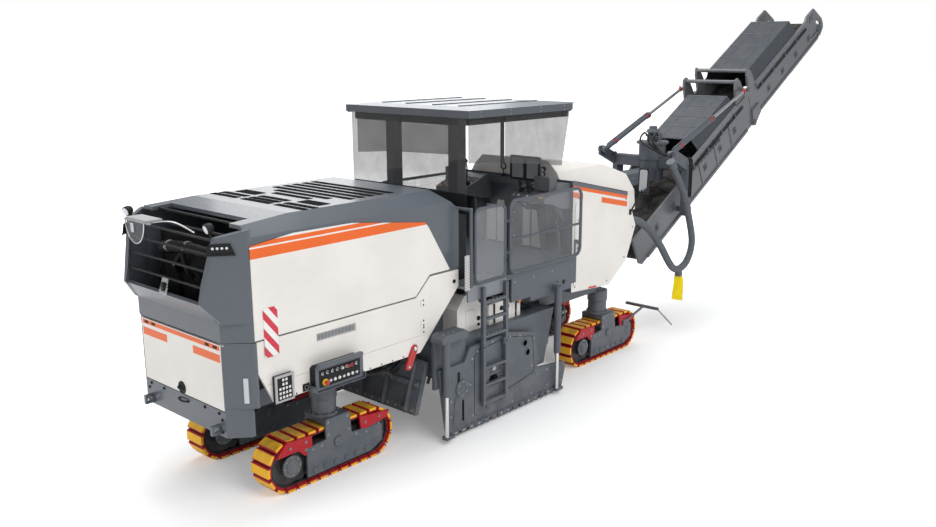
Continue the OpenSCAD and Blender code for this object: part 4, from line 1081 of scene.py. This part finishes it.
class PLANER_OT_station(PieceOperator, bpy.types.Operator):
    """Clear sheets, screens, levers, lamps and treads of the operator's platform"""

    bl_idname = "planer.station"
    bl_label = "Operator platform"

    def build(self, s, z):
        sheet, dark, bright, screen, red, ring, lens, roof, punched, white = new(10)
        for y in (-0.34, -0.6):
            rim = round_rect(-0.118, 0.118, 2.92, 3.23, 0.012)
            tube(dark, [at(4.376, y + p[0], p[1]) for p in rim + rim[:1]], 0.015, 8, caps=False)
            plate(screen, round_rect(-0.1, 0.1, 2.938, 3.212, 0.008), at(4.3805, y, 0), -Y, Z, 0.004, 0.001)
            for k in range(6):
                left = y - 0.075 + 0.028 * k
                slab(bright, (4.372, 4.376), (left, left + 0.015), (2.924, 2.932), 0.001)
        for side in SIDES:
            plate(sheet, round_rect(3.195, 4.675, 1.935, 2.825, 0.1), at(0, 1.2 * side + 0.003, 0), X, Z, 0.006, 0.001)
            side_bolts(bright, [(x, h) for x in (3.24, 4.63) for h in (2.06, 2.4, 2.7)], 1.204, side, 0.009)
            self.desk(side, dark, bright, white, ring, red, lens)
            # Roof rim seal, ribs and work lamps
            slab(dark, (2.56, 4.57), (1.075, 1.095), (3.868, 3.882), 0.004, side)
            for y in (0.24, 0.68):
                slab(roof, (2.82, 4.34), (y - 0.03, y + 0.03), (3.994, 4.008), 0.008, side)
            slab(dark, (4.52, 4.64), (0.86, 0.98), (3.785, 3.87), 0.01, side)
            plate(lens, round_rect(-0.046, 0.046, 3.795, 3.86, 0.008), at(4.6405, 0.92 * side, 0), Y, Z, 0.005, 0.002)
            side_bolts(bright, [(x, h) for x in (2.75, 3.3, 3.9, 4.4) for h in (3.9, 3.95)], 1.0985, side, 0.007)
            # Studs along the treads, and a punched plate behind the gate whose holes carry white caps: painted light
            # for their light spots
            for h in (1.2, 1.42, 1.64):
                for k in range(10):
                    lathe(bright, [(0, 0.013), (0.006, 0.012), (0.009, 0.006), (0.009, POINT)],
                          at(2.735 + 0.0356 * k, 1.182 * side + 0.026 * side * (k % 2), h + 0.015), Z, 10)
            plate(punched, rect(2.366, 2.455, 1.842, 2.28), at(0, 1.172 * side, 0), X, Z, 0.004, 0.001)
            outer = 1.172 + LAID + (0.0 if side > 0 else 0.004)
            # White caps on the punched plate's holes: painted light.
            for k in range(3):
                for j in range(12):
                    lathe(white, [(0, 0.011), (0.003, 0.011), (0.004, 0.007), (0.001, 0.005), (0.001, POINT)],
                          at(2.382 + 0.028 * k, outer * side, 1.862 + 0.0355 * j + 0.016 * (k % 2)), Y * side, 12)
            for k in range(16):
                for j in range(8):
                    lathe(bright, [(0, 0.014), (0.005, 0.012), (0.005, 0.007), (0.001, 0.006), (0.001, POINT)],
                          at(2.47 + 0.042 * k + 0.021 * (j % 2), (0.8 + 0.046 * j) * side, 1.875), Z, 10)
        # Rubber lip under the rear pane, down to the hood
        lip, covers = new(2)
        plate(lip, rect(-1.02, 0.99, 2.74, 2.99), at(2.5605, 0, 0), Y, Z, 0.008)
        tube(lip, [at(2.5665, y, 2.74) for y in (-1.01, -0.4, 0.2, 0.98)], 0.009, 8)
        # Pale service covers on the wall before the desks
        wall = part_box("front_body")[0].x - LAID
        for side in SIDES:
            for near, far, top in ((0.17, 0.31, 2.52), (0.335, 0.52, 2.44)):
                ends = sorted((near * side, far * side))
                plate(covers, round_rect(*ends, 1.9, top, 0.02), (wall, 0, 0), -Y, Z, 0.006, 0.002)
        # Lever with a ring knob on the middle bar
        foot = at(4.68, 0.17, 2.88)
        lathe(dark, [(0, 0.035), (0.02, 0.03), (0.035, 0.01)], foot, Z, 18)
        tube(dark, [foot, foot + Z * 0.1], 0.008, 8)
        loop = around(foot + Z * 0.145, 0.045, Y, Z, 20)
        tube(dark, loop + loop[:1], 0.009, 8, caps=False)
        grow_all("chassis", ("pane_lip", lip, "matt_black", "rubber"),
                 ("wall_covers", covers, "panel_white", "white_paint"), ("rail_sheets", sheet, "clear_panel"),
                 ("desk_controls", dark, "matt_black"),
                 ("platform_studs", bright, "bolt_steel", "grey_steel"), ("screens", screen, "screen_face"),
                 ("desk_stops", red, "cap_red"), ("desk_stop_rings", ring, "cap_yellow"),
                 ("desk_lamps", lens, "lamp_lens"), ("roof_ribs", roof, "shell_grey", "dark_paint"),
                 ("gate_plates", punched, "tray_grey"), ("desk_caps_and_hole_light", white, "cap_white"))

    def desk(self, side, dark, bright, white, ring, red, lens):
        """Levers, key fields, switches, a stop, a lamp and cables of one desk."""
        slope = Matrix.Rotation(math.radians(-20.4), 3, "Y")
        for y, r in ((0.5, 0.04), (0.64, 0.034)):
            foot = at(4.27, y * side, desk_z(4.27))
            lathe(dark, [(0, r), (0.01, r * 1.05), (0.03, r * 0.7), (0.05, 0.012)], foot, DESK_UP)
            tube(dark, [foot + DESK_UP * 0.04, foot + DESK_UP * 0.1], 0.008, 8)
            lathe(dark, [(0.085, 0.013), (0.1, 0.02), (0.14, 0.022), (0.165, 0.015), (0.168, POINT)], foot, DESK_UP, 16)
        # Rows of four keys, with two in the middle row
        for x, keys in ((4.355, 4), (4.405, 2), (4.455, 4)):
            for k in range(keys):
                spot = at(x, (0.48 + 0.07 * k) * side, desk_z(x))
                block(dark, spot - Vector((0.014, 0.022, 0.004)), spot + Vector((0.014, 0.022, 0.007)), 0.003, slope)
        for k in range(5):
            knob(white if k % 2 else bright, at(4.16, (0.46 + 0.075 * k) * side, desk_z(4.16)), DESK_UP, 0.014, 0.006,
                 0.012, 0.011, 14)
        stop = at(4.175, 0.9 * side, desk_z(4.175))
        knob(ring, stop, DESK_UP, 0.036, 0.012, 0.016, 0.03, 22)
        lathe(red, [(0.016, 0.016), (0.03, 0.016), (0.033, 0.029), (0.046, 0.028), (0.052, 0.018), (0.053, POINT)],
              stop, DESK_UP, 22)
        post = at(4.5, 0.72 * side, desk_z(4.5))
        head, aim = post + Vector((-0.04, 0, 0.215)), (-0.8, 0, -0.25)
        tube(dark, smooth_path([post, post + Z * 0.12, post + Vector((-0.03, 0, 0.2))], 5), 0.01, 8)
        lathe(dark, [(-0.03, 0.02), (-0.02, 0.036), (0.02, 0.042), (0.03, 0.04), (0.03, 0.034)], head, aim)
        lathe(lens, [(0.026, 0.034), (0.034, 0.026), (0.036, POINT)], head, aim)
        for k in range(5):
            y0, y1, drop = 0.45 + 0.03 * k, 0.95 - 0.02 * k, 0.03 + 0.018 * (k % 3)
            run(dark, [(4.2 + 0.02 * k, y0, 2.655), (4.15 + 0.015 * k, y0 + 0.12, 2.64 - drop),
                       (4.16, (y0 + y1) / 2, 2.63 - drop), (4.15 + 0.012 * k, y1 - 0.1, 2.65 - drop), (4.3, y1, 2.6),
                       (4.56, y1, 2.42), (4.66, y1, 2.1), (4.67, y1, 1.885)], 0.009 + 0.002 * (k % 2), side=side)


# Outer face of a side plate, from the machine's middle
PLATE_Y = 1.15


class PLANER_OT_milling(PieceOperator, bpy.types.Operator):
    """Bolts, covers, latches and hoses round the milling drum, and the fittings of the tanks"""

    bl_idname = "planer.milling"
    bl_label = "Milling unit fittings"

    def build(self, s, z):
        for side, body in zip(SIDES, ("side_plate_r", "side_plate_l")):
            self.side_plate(side, body)
        self.scraper()
        dark, bright, white, amber, hose, post = new(6)
        for side in SIDES:
            self.tanks(side, dark, bright, white, amber)
            self.hoses(side, dark, bright, hose)
            # Slotted strip and cap bolts of the rear columns, low enough for the lifted side plate
            flank(post, rect(2.1, 2.17, 0.965, 1.285), 1.1043, side, 0.0035, 0.001)
            for k in range(5):
                low = 0.985 + 0.06 * k
                flank(white, round_rect(2.122, 2.148, low, low + 0.04, 0.012, 3), 1.108, side, 0.0006, 0.0)
            for x, y in ((1.95, 1.1), (1.95, 1.21), (2.12, 1.21), (2.28, 1.21), (2.28, 1.1)):
                bolt(bright, at(x, y * side, 1.4003), Z)
        grow_all("chassis", ("column_strips", post, "frame_grey", "dark_paint"), ("tank_caps", dark, "matt_black"),
                 ("mill_bolts", bright, "bolt_steel", "grey_steel"),
                 ("tank_doors", white, "panel_white", "white_paint"), ("marker_lamps", amber, "amber_lens"),
                 ("hydraulic_hoses", hose, "belt_rubber", "rubber"))

    def side_plate(self, side, body):
        """Wear strip, seams, covers, latches and bolts on one side plate's outer face."""
        way = Y * side
        bolts, dark, fittings, marks = new(4)

        def flat(bm, outline, thick, lift=LAID, edge=0.002):
            flank(bm, outline, PLATE_Y + lift, side, thick, edge)

        # Wear strip along the lower edge with its slots
        flat(fittings, [(2.09, 0.036), (4.365, 0.036), (4.385, 0.1), (2.07, 0.1)], 0.009)
        for k in range(31):
            x = 2.14 + 0.072 * k
            flat(marks if k % 2 else dark, round_rect(x - 0.02, x + 0.02, 0.056, 0.08, 0.011, 3), 0.001, 0.0094, 0.0)
        side_bolts(bolts, ((2.13, 0.5), (2.13, 0.3), (2.52, 0.2), (2.52, 0.95), (2.62, 1.02), (3.75, 0.92), (3.7, 0.55),
                           (4.3, 0.36), (4.36, 0.16), (3.25, 1.06), (2.9, 1.08), (3.82, 0.4), (4.05, 0.4), (4.05, 0.18),
                           (2.48, 0.62), (3.3, 0.16), (3.7, 0.16), (3.15, 0.98), (3.45, 1.03)),
                   PLATE_Y + LAID, side, 0.012)
        # Seam of the access lid
        tube(dark, [at(x, 1.1508 * side, h) for x, h in (
            (2.6, 0.17), (2.56, 0.22), (2.56, 0.96), (2.62, 1.03), (3.2, 1.07), (3.72, 0.96), (3.77, 0.5), (3.72, 0.44),
            (3.22, 0.36))], 0.0035, 6)
        # Round pivot cover over the slotted guide
        lathe(fittings, [(LAID, 0.115), (0.012, 0.115), (0.016, 0.108), (0.016, 0.062), (0.008, 0.056), (0.008, 0.03),
                         (0.014, 0.026), (0.014, POINT)], at(2.333, PLATE_Y * side, 0.62), way, 30)
        for spot in around(at(2.333, 1.166 * side, 0.62), 0.085, X, Z, 6, 0.4):
            bolt(bolts, spot, way, 0.009)
        flat(fittings, [(2.17, 0.16), (2.47, 0.16), (2.44, 0.52), (2.37, 0.56), (2.3, 0.56), (2.2, 0.5)], 0.006)
        flat(dark, round_rect(2.325, 2.362, 0.19, 0.47, 0.018, 4), 0.001, 0.0064, 0.0)
        # Rims of the two sight holes
        for x, h in ((3.56, 0.9), (3.62, 0.76)):
            lathe(fittings, [(LAID, 0.056), (0.006, 0.056), (0.009, 0.051), (0.009, 0.041), (LAID, 0.039)],
                  at(x, PLATE_Y * side, h), way, 24)
        # Latch frame behind the ladder
        flat(fittings, [(2.78, 0.26), (2.79, 0.215), (2.82, 0.215), (2.82, 0.8), (2.79, 0.83), (2.76, 0.8)], 0.012)
        flat(fittings, [(3.06, 0.25), (3.1, 0.25), (3.12, 0.3), (3.1, 0.78), (3.06, 0.82), (3.05, 0.78)], 0.012)
        for h in (0.3, 0.47, 0.64, 0.78):
            flat(fittings, rect(2.815, 3.062, h, h + 0.035), 0.01)
        flat(dark, [(2.84, 0.52), (2.96, 0.52), (3.0, 0.58), (2.98, 0.63), (2.87, 0.63), (2.84, 0.58)], 0.013)
        lathe(marks, [(LAID, 0.034), (0.012, 0.034), (0.0125, POINT)], at(2.93, PLATE_Y * side, 0.72), way, 18)
        side_bolts(bolts, ((2.8, 0.3), (2.8, 0.7), (3.085, 0.35), (3.085, 0.7)), 1.1625, side, 0.007)
        grow_all(body, (f"{body}_bolts", bolts, "bolt_steel", "grey_steel"), (f"{body}_slots", dark, "deep_black"),
                 (f"{body}_fittings", fittings, "frame_grey", "dark_paint"), (f"{body}_marks", marks, "tray_grey"))

    def tanks(self, side, dark, bright, white, amber):
        """Tank caps, straps, gauges and the marker lamp, and the deck skirt over them."""
        way, tank_y = Y * side, 0.9603
        for x, y, h, r in ((2.68, 0.82, 1.7, 0.055), (3.2, 0.84, 1.49, 0.05), (3.5, 0.84, 1.49, 0.05)):
            lathe(dark, [(0, r), (0.02, r), (0.026, r * 0.9), (0.04, r * 0.86), (0.046, r * 0.7), (0.046, POINT)],
                  at(x, y * side, h), Z, 22)
        for x in (3.14, 3.58):
            slab(dark, (x, x + 0.035), (tank_y, 0.966), (1.225, 1.485), 0.002, side)
            bolt(bright, at(x + 0.018, 0.966 * side, 1.3), way, 0.009)
        for x, y, h, r in ((2.86, 0.9503, 1.36, 0.03), (2.86, 0.9503, 1.28, 0.02), (3.3, tank_y, 1.4, 0.032),
                           (3.42, tank_y, 1.4, 0.026)):
            knob(dark, at(x, y * side, h), way, r, 0.012, 0.016, r * 0.8)
        flank(white, round_rect(2.62, 2.78, 1.28, 1.5, 0.02), 0.9503, side, 0.006)
        lamp = at(3.652, tank_y * side, 1.44)
        lathe(amber, [(0, 0.036), (0.02, 0.036), (0.03, 0.026), (0.032, POINT)], lamp, way)
        lathe(dark, [(0, 0.046), (0.008, 0.046), (0.008, 0.037)], lamp, way)
        # Holes and bolts of the deck skirt
        for x, h, r in ((4.425, 1.563, 0.032), (4.283, 1.59, 0.012)):
            knob(dark, at(x, 1.13 * side, h), way, r, 0.004, 0.005, r * 0.8, foot=LAID)
        side_bolts(bright, [(x, 1.76) for x in (3.36, 3.75, 4.15, 4.6)], 1.1303, side, 0.01)

    def hoses(self, side, dark, bright, hose):
        """Valve block, hoses before and behind the drum housing, pipes behind the tanks and bolts along the frame."""
        slab(dark, (4.47, 4.68), (0.78, 0.98), (0.98, 1.15), 0.012, side)
        for k in range(3):
            x = 4.5 + 0.07 * k
            lathe(bright, [(0, 0.024), (0.02, 0.024), (0.022, 0.018), (0.045, 0.018), (0.05, 0.012)],
                  at(x, 0.98 * side, 1.07), Y * side, 14)
            lathe(dark, [(0, 0.024), (0.035, 0.024), (0.04, 0.015)], at(x, 0.88 * side, 0.98), -Z, 14)
        for k in range(6):
            x, y, dip = 4.46 + 0.042 * k, 0.8 + 0.03 * (k % 3), 0.74 + 0.035 * (k % 3)
            run(hose, [(x, y, 1.0), (x + 0.02, y + 0.03, 0.9), (x + 0.01, y + 0.06, dip),
                       (x - 0.05, y + 0.04, dip - 0.03), (x - 0.13, y + 0.02, dip + 0.06), (x - 0.16, y, 0.96),
                       (4.36, y - 0.03, 1.12), (4.32, y - 0.05, 1.2)], 0.016 - 0.002 * (k % 2), side=side)
        for k in range(4):
            y = 0.5 + 0.07 * k
            run(hose, [(1.78, y, 1.0), (1.6, y, 0.96 - 0.02 * k), (1.42, y + 0.03, 0.98), (1.2, y, 1.0),
                       (1.05, y, 1.05)], 0.017, side=side)
        for k in range(3):
            run(hose, [(x + 0.05 * k, y, h) for x, y, h in (
                (3.74, 0.74, 1.43), (3.76, 0.8, 1.34), (3.84, 0.86, 1.28), (3.95, 0.84, 1.23))], 0.014, side=side)
        for k in range(9):
            bolt(bright, at(2.05 + 0.27 * k, 0.72 * side, 1.2203), Z)

    def scraper(self):
        """Ribs, wear strip, channel and bolts on the back of the scraper."""
        ribs, studs = new(2)
        foot, up, back = at(1.7, 0, 0.4), Vector((0.3026, 0, 0.9531)), Vector((-0.9531, 0, 0.3026))
        for k in range(5):
            plate(ribs, [(1.703, 0.41), (1.893, 1.01), (1.85, 1.01), (1.735, 0.72), (1.655, 0.46)],
                  at(0, -0.81 + 0.405 * k, 0), X, Z, 0.02)
        for low, high, thick in ((0.006, 0.09, 0.014), (0.33, 0.4, 0.03)):
            plate(ribs, rect(-0.93, 0.93, low, high), foot, Y, up, -thick)
        for k in range(14):
            for rise, lift, r in ((0.05, 0.0143, 0.013), (0.365, 0.0303, 0.011)):
                bolt(studs, foot + up * rise + back * lift + Y * (-0.9 + 0.1385 * k), back, r)
        grow_all("scraper", ("scraper_ribs", ribs, "frame_grey", "dark_paint"),
                 ("scraper_studs", studs, "bolt_steel", "grey_steel"))


class PLANER_OT_front_fittings(PieceOperator, bpy.types.Operator):
    """Mirror faces, reflectors, seams, clamps and the motor on the slewing hub"""

    bl_idname = "planer.front_fittings"
    bl_label = "Front fittings"

    def build(self, s, z):
        self.front_body()
        self.slew_hub()

    def front_body(self):
        """Mirrors, reflectors, seams and fixings of the front body and its boom."""
        glass, red, bolts, dark, seam = new(5)
        lean = Vector((0.02, 0, 0.37)).normalized()
        skin_y = 1.05 + LAID
        for side in SIDES:
            way = Y * side
            face = at(6.3595, 1.14 * side, 2.56)
            plate(glass, round_rect(-0.066, 0.066, 0.02, 0.35, 0.03), face, -Y, lean, 0.003, 0.001)
            rim = [face + Vector((-0.002, -p[0], 0)) + lean * p[1]
                   for p in round_rect(-0.074, 0.074, 0.01, 0.36, 0.036)]
            tube(dark, rim + rim[:1], 0.008, 8, caps=False)
            # Red reflectors whose finish glows: painted light.
            flank(red, [(5.14, 1.308), (5.33, 1.294), (5.33, 1.322), (5.14, 1.336)], skin_y, side, 0.006, 0.002)
            side_bolts(bolts, ((4.8, 1.4), (5.6, 1.34), (6.05, 1.62), (6.26, 2.05), (6.05, 2.5), (4.8, 2.7)), skin_y,
                       side, 0.009)
            # Seam of the side door, its flush latch, and the lip along the band
            tube(seam, [at(x, 1.0502 * side, h) for x, h in ((4.77, 1.42), (4.77, 2.56), (4.79, 2.6))], 0.003, 6)
            knob(dark, at(4.86, skin_y * side, 1.95), way, 0.026, 0.005, 0.008, 0.02)
            tube(seam, [at(x, 1.0425 * side, h) for x, h in ((4.72, 2.914), (5.3, 2.782), (5.7, 2.694), (6.1, 2.603))],
                 0.004, 6)
            # Fixings and pipes on the boom
            side_bolts(bolts, [(x, 2.56) for x in (6.95, 7.3, 7.65, 8.0)], 0.1703, side, 0.011)
            for k in range(2):
                near = 0.1 + 0.04 * k
                run(dark, [(6.72, 0.24 + 0.03 * k, 2.72), (6.9, 0.2 + 0.03 * k, 2.665), (7.2, near + 0.01, 2.66),
                           (7.42, near, 2.645), (7.5, near, 2.58)], 0.014, side=side)
        # Clamp on the hose gland of the front body
        gland = HOSE_ROUTE[0]
        nose = (HOSE_ROUTE[1] - gland).normalized()
        lathe(bolts, [(-0.05, 0.0745), (-0.05, 0.08), (-0.018, 0.08), (-0.018, 0.0745)], gland, nose, 26)
        bolt(bolts, gland - nose * 0.034 + Z * 0.08, Z, 0.011)
        grow_all("chassis", ("mirror_faces", glass, "mirror_face"), ("front_reflectors", red, "glowing_red_reflector"),
                 ("front_bolts", bolts, "bolt_steel", "grey_steel"), ("front_dark", dark, "matt_black"),
                 ("front_seams", seam, "deep_black"))

    def slew_hub(self):
        """Motor, bolts, hoses and pivot caps of the slewing frame."""
        hub, shine, hose, grey = new(4)
        for spot in around(at(8.5, 0, 3.1013), 0.245, X, Y, 14):
            bolt(shine, spot, Z)
        lathe(hub, [(0, 0.12), (0.02, 0.12), (0.026, 0.108), (0.05, 0.1), (0.06, 0.07), (0.1, 0.068), (0.11, 0.05),
                    (0.11, POINT)], at(8.5, 0, 3.2563), Z, 28)
        slab(hub, (8.42, 8.58), (-0.15, -0.085), (3.13, 3.24), 0.012)
        for k, (y, x) in enumerate(((-0.16, 8.1), (-0.05, 8.14), (0.06, 8.08))):
            run(hose, [(8.42, y, 3.2), (8.26, y - 0.03, 3.26), (x, y - 0.08, 3.14), (8.2 - 0.05 * k, -0.32, 2.98),
                       (8.28, -0.48, 2.88), (8.37, -0.58, 2.85)], 0.015, 7)
            lathe(shine, [(0, 0.02), (0.03, 0.02), (0.034, 0.017)], at(8.42, y, 3.2), (-1, 0, 0.3), 12)
        for side in SIDES:
            way = Y * side
            side_bolts(shine, ((8.43, 2.78), (8.57, 2.78), (8.43, 2.3), (8.57, 2.3), (8.45, 1.96)), 0.7403, side, 0.013)
            lathe(grey, [(LAID, 0.085), (0.02, 0.085), (0.028, 0.072), (0.028, 0.04), (0.036, 0.034), (0.036, POINT)],
                  at(8.5, 0.74 * side, 1.98), way, 26)
            knob(grey, at(8.0, 0.74 * side, 2.96), way, 0.055, 0.014, 0.02, 0.046, 24, LAID)
            flank(grey, [(8.42, 2.05), (8.58, 2.05), (8.56, 2.7), (8.44, 2.7)], 0.7403, side, 0.01)
            for k in range(2):
                x = 8.47 + 0.06 * k
                run(hose, [(8.3 + 0.03 * k, 0.66, 2.85), (8.34 + 0.03 * k, 0.7, 2.87), (x - 0.01, 0.745, 2.85),
                           (x, 0.762, 2.7), (x, 0.762, 2.2)], 0.013, 6, side=side)
        grow_all("slew", ("hub_motor", hub, "frame_grey", "dark_paint"),
                 ("hub_bolts", shine, "bolt_steel", "grey_steel"), ("hub_hoses", hose, "belt_rubber", "rubber"),
                 ("slew_caps", grey, "frame_grey", "dark_paint"))


# The conveyor's rise, and its directions along and square to the belt
LEAN = math.radians(28.6)
ALONG = Vector((math.cos(LEAN), 0, math.sin(LEAN)))
UPWARD = Vector((-math.sin(LEAN), 0, math.cos(LEAN)))
# Where the tip section begins and ends, along the belt
TIP_0, TIP_1 = 4.418, 7.938
# For each section: span of the edge bolts, height of the lower edge, span and height of the cover, places of the
# rollers, span of the pipes, span of the belt's cleats
SECTIONS = {
    "conveyor": ((0.3, 4.05), 0.06, (2.45, 3.92), 0.95, (0.7, 1.3, 1.9, 2.5, 3.1, 3.7), (1.95, 4.1), (1.5, 4.2)),
    "tip": ((TIP_0 + 0.36, TIP_1 - 0.4), 0.14, (4.77, 6.74), 0.98, [TIP_0 + 0.15 + 0.655 * k for k in range(1, 5)],
            (TIP_0 + 0.34, TIP_1 - 0.85), (TIP_0 + 0.05, TIP_1 - 0.5)),
}


def belt_at(u, y, w):
    """A point by its way along the conveyor, its side and its height over the conveyor's floor."""
    return at(7.4, y, 1.1) + ALONG * u + UPWARD * w


def belt_flank(bm, outline, y, side, thick, edge=0.003):
    """A plate drawn along and square to the belt that stands out from the conveyor's side."""
    plate(bm, outline, belt_at(0, y * side, 0), ALONG, UPWARD, -thick * side, edge)


def steps(first, last, pitch):
    """Places from the first on, at a pitch, up to the last."""
    while first < last:
        yield first
        first += pitch


class PLANER_OT_conveyor_fittings(PieceOperator, bpy.types.Operator):
    """Bolts, roller plates, straps, cleats, pipes and cylinder collars of the loading conveyor"""

    bl_idname = "planer.conveyor_fittings"
    bl_label = "Conveyor fittings"

    def build(self, s, z):
        for body, (edges, floor, (top_0, top_1), cover, rollers, pipes, cleats) in SECTIONS.items():
            bolts, dark, plates, strap, cleat = new(5)
            for side in SIDES:
                way = Y * side
                for u in steps(*edges, 0.19):
                    bolt(bolts, belt_at(u, 0.5623 * side, floor + 0.025), way, 0.009)
                    if u > 2.0:
                        bolt(bolts, belt_at(u, 0.5623 * side, 0.71), way, 0.009)
                # Bearing plates of the rollers
                for u in rollers:
                    belt_flank(plates, rect(u - 0.055, u + 0.055, 0.29, 0.41), 0.5403, side, 0.009)
                    knob(plates, belt_at(u, 0.549 * side, 0.35), way, 0.03, 0.018, 0.024, 0.022, 16)
                    for du, dw in ((-0.04, -0.045), (0.04, -0.045), (-0.04, 0.045), (0.04, 0.045)):
                        bolt(bolts, belt_at(u + du, 0.5493 * side, 0.35 + dw), way, 0.006)
                # Pipes along the side with their clamps
                for w in (0.6, 0.635):
                    tube(dark, [belt_at(u, 0.5665 * side, w) for u in pipes], 0.01, 8)
                for u in steps(pipes[0] + 0.15, pipes[1], 0.55):
                    belt_flank(plates, rect(u, u + 0.04, 0.58, 0.655), 0.5545, side, 0.024, 0.004)
            # Straps over the crowned cover
            for k in range(5):
                u = top_0 + 0.03 + (top_1 - top_0 - 0.06) * k / 4
                tube(strap, [belt_at(u, y, w) for y, w in (
                    (-0.499, 0.7), (-0.499, 0.752), (-0.4, cover + 0.002), (0.4, cover + 0.002), (0.499, 0.752),
                    (0.499, 0.7))], 0.007, 6)
            for y in (-0.2, 0.2):
                tube(strap, [belt_at(u, y, cover + 0.001) for u in (top_0 + 0.03, top_1 - 0.03)], 0.005, 6)
            # Chevron cleats on the belt
            for u in steps(*cleats, 0.3):
                tube(cleat, [belt_at(u, -0.43, 0.41), belt_at(u + 0.22, 0, 0.41), belt_at(u, 0.43, 0.41)], 0.013, 6)
            for side in SIDES:
                if body == "conveyor":
                    self.lower_section(side, plates, dark)
                else:
                    self.head(side, plates, bolts)
            grow_all(body, (f"{body}_bolts", bolts, "bolt_steel", "grey_steel"), (f"{body}_pipes", dark, "matt_black"),
                     (f"{body}_plates", plates, "frame_grey", "dark_paint"),
                     (f"{body}_straps", strap, "shell_grey", "dark_paint"),
                     (f"{body}_cleats", cleat, "belt_rubber", "rubber"))
        self.cylinders()

    def lower_section(self, side, plates, dark):
        """Slotted bar along the lower section's side, and the cap on the pin of the lifting cylinder's eye."""
        belt_flank(plates, [(2.08, 0.545), (3.14, 0.505), (3.14, 0.555), (2.08, 0.595)], 0.5545, side, 0.01)
        for k in range(9):
            u, fall = 2.15 + 0.115 * k, 0.038 * k * 0.115
            belt_flank(dark, round_rect(u - 0.035, u + 0.035, 0.557 - fall, 0.577 - fall, 0.009, 3), 0.5646, side,
                       0.001, 0.0)
        knob(plates, belt_at(4.18, 0.69 * side, 0.945), Y * side, 0.05, 0.012, 0.018, 0.04, 22, LAID)

    def head(self, side, plates, bolts):
        """Hinge cap of the tip section, and the drum bearing and tensioner at its head."""
        way = Y * side
        knob(plates, belt_at(4.409, 0.576 * side, 0.095), way, 0.06, 0.012, 0.018, 0.05, 22, LAID)
        belt_flank(plates, [(7.6, 0.19), (7.79, 0.19), (7.81, 0.28), (7.79, 0.38), (7.6, 0.38)], 0.5403, side, 0.014,
                   0.004)
        lathe(plates, [(0, 0.07), (0.02, 0.07), (0.028, 0.058), (0.028, 0.03), (0.04, 0.026), (0.04, POINT)],
              belt_at(7.698, 0.554 * side, 0.285), way, 26)
        for du, dw in ((-0.075, -0.07), (0.07, -0.07), (-0.075, 0.07), (0.07, 0.07)):
            bolt(bolts, belt_at(7.698 + du, 0.5543 * side, 0.285 + dw), way, 0.01)
        tube(bolts, [belt_at(u, 0.556 * side, 0.285) for u in (7.34, 7.62)], 0.012, 8)

    def cylinders(self):
        """Collars, pipes and eyes of the lifting cylinders."""
        red, pipe, tip_red = new(3)
        base, eye = at(8.0, 0, 2.96), belt_at(4.18, 0, 0.945)
        way = (eye - base).normalized()
        over = Vector((-way.z, 0, way.x))
        for side in SIDES:
            y = Y * (0.645 * side)
            for d in (0.32, 1.4):
                lathe(red, [(0, 0.0425), (0.004, 0.05), (0.03, 0.05), (0.034, 0.0425), (0, 0.0425)], base + way * d + y,
                      way, 24)
            lathe(pipe, [(1.44, 0.0525), (1.444, 0.056), (1.49, 0.056), (1.494, 0.0525), (1.44, 0.0525)], base + y,
                  way, 24)
            line = [base + y + way * d + over * h for d, h in (
                (0.1, 0.045), (0.13, 0.062), (0.6, 0.062), (1.38, 0.062), (1.43, 0.045))]
            tube(pipe, smooth_path(line, 4), 0.01, 8)
            lathe(tip_red, [(0, 0.028), (0.004, 0.04), (0.04, 0.04), (0.044, 0.028)], eye - way * 0.12 + y, way, 22)
        grow_all("lift_barrels", ("cylinder_collars", red, "cap_red"),
                 ("cylinder_pipes", pipe, "frame_grey", "dark_paint"))
        grow("rod_collars", tip_red, "cap_red", "lift_rods")


OPERATORS = (
    PLANER_OT_camera,
    PLANER_OT_paint,
    PLANER_OT_hose,
    PLANER_OT_stage,
    PLANER_OT_track_gear,
    PLANER_OT_rear_fittings,
    PLANER_OT_side_fittings,
    PLANER_OT_station,
    PLANER_OT_milling,
    PLANER_OT_front_fittings,
    PLANER_OT_conveyor_fittings,
)


class PLANER_PT_panel(bpy.types.Panel):
    """Lists the pieces in the order in which they are made"""

    bl_label = "Cold planer"
    bl_idname = "PLANER_PT_panel"
    bl_space_type = "VIEW_3D"
    bl_region_type = "UI"
    bl_category = "Planer"

    def draw(self, context):
        column = self.layout.column()
        for group in (context.scene.planer_look, context.scene.planer_sizes):
            for key in group.bl_rna.properties.keys():
                if key not in ("rna_type", "name"):
                    column.prop(group, key)
        for op in OPERATORS:
            column.operator(op.bl_idname)


CLASSES = (PlanerLook, PlanerSizes, *OPERATORS, PLANER_PT_panel)


def register():
    for cls in CLASSES:
        bpy.utils.register_class(cls)
    bpy.types.Scene.planer_look = bpy.props.PointerProperty(type=PlanerLook)
    bpy.types.Scene.planer_sizes = bpy.props.PointerProperty(type=PlanerSizes)


def unregister():
    del bpy.types.Scene.planer_look
    del bpy.types.Scene.planer_sizes
    for cls in reversed(CLASSES):
        bpy.utils.unregister_class(cls)


def main():
    register()
    for op in OPERATORS:
        group, word = op.bl_idname.split(".")
        getattr(getattr(bpy.ops, group), word)()


if __name__ == "__main__":
    main()
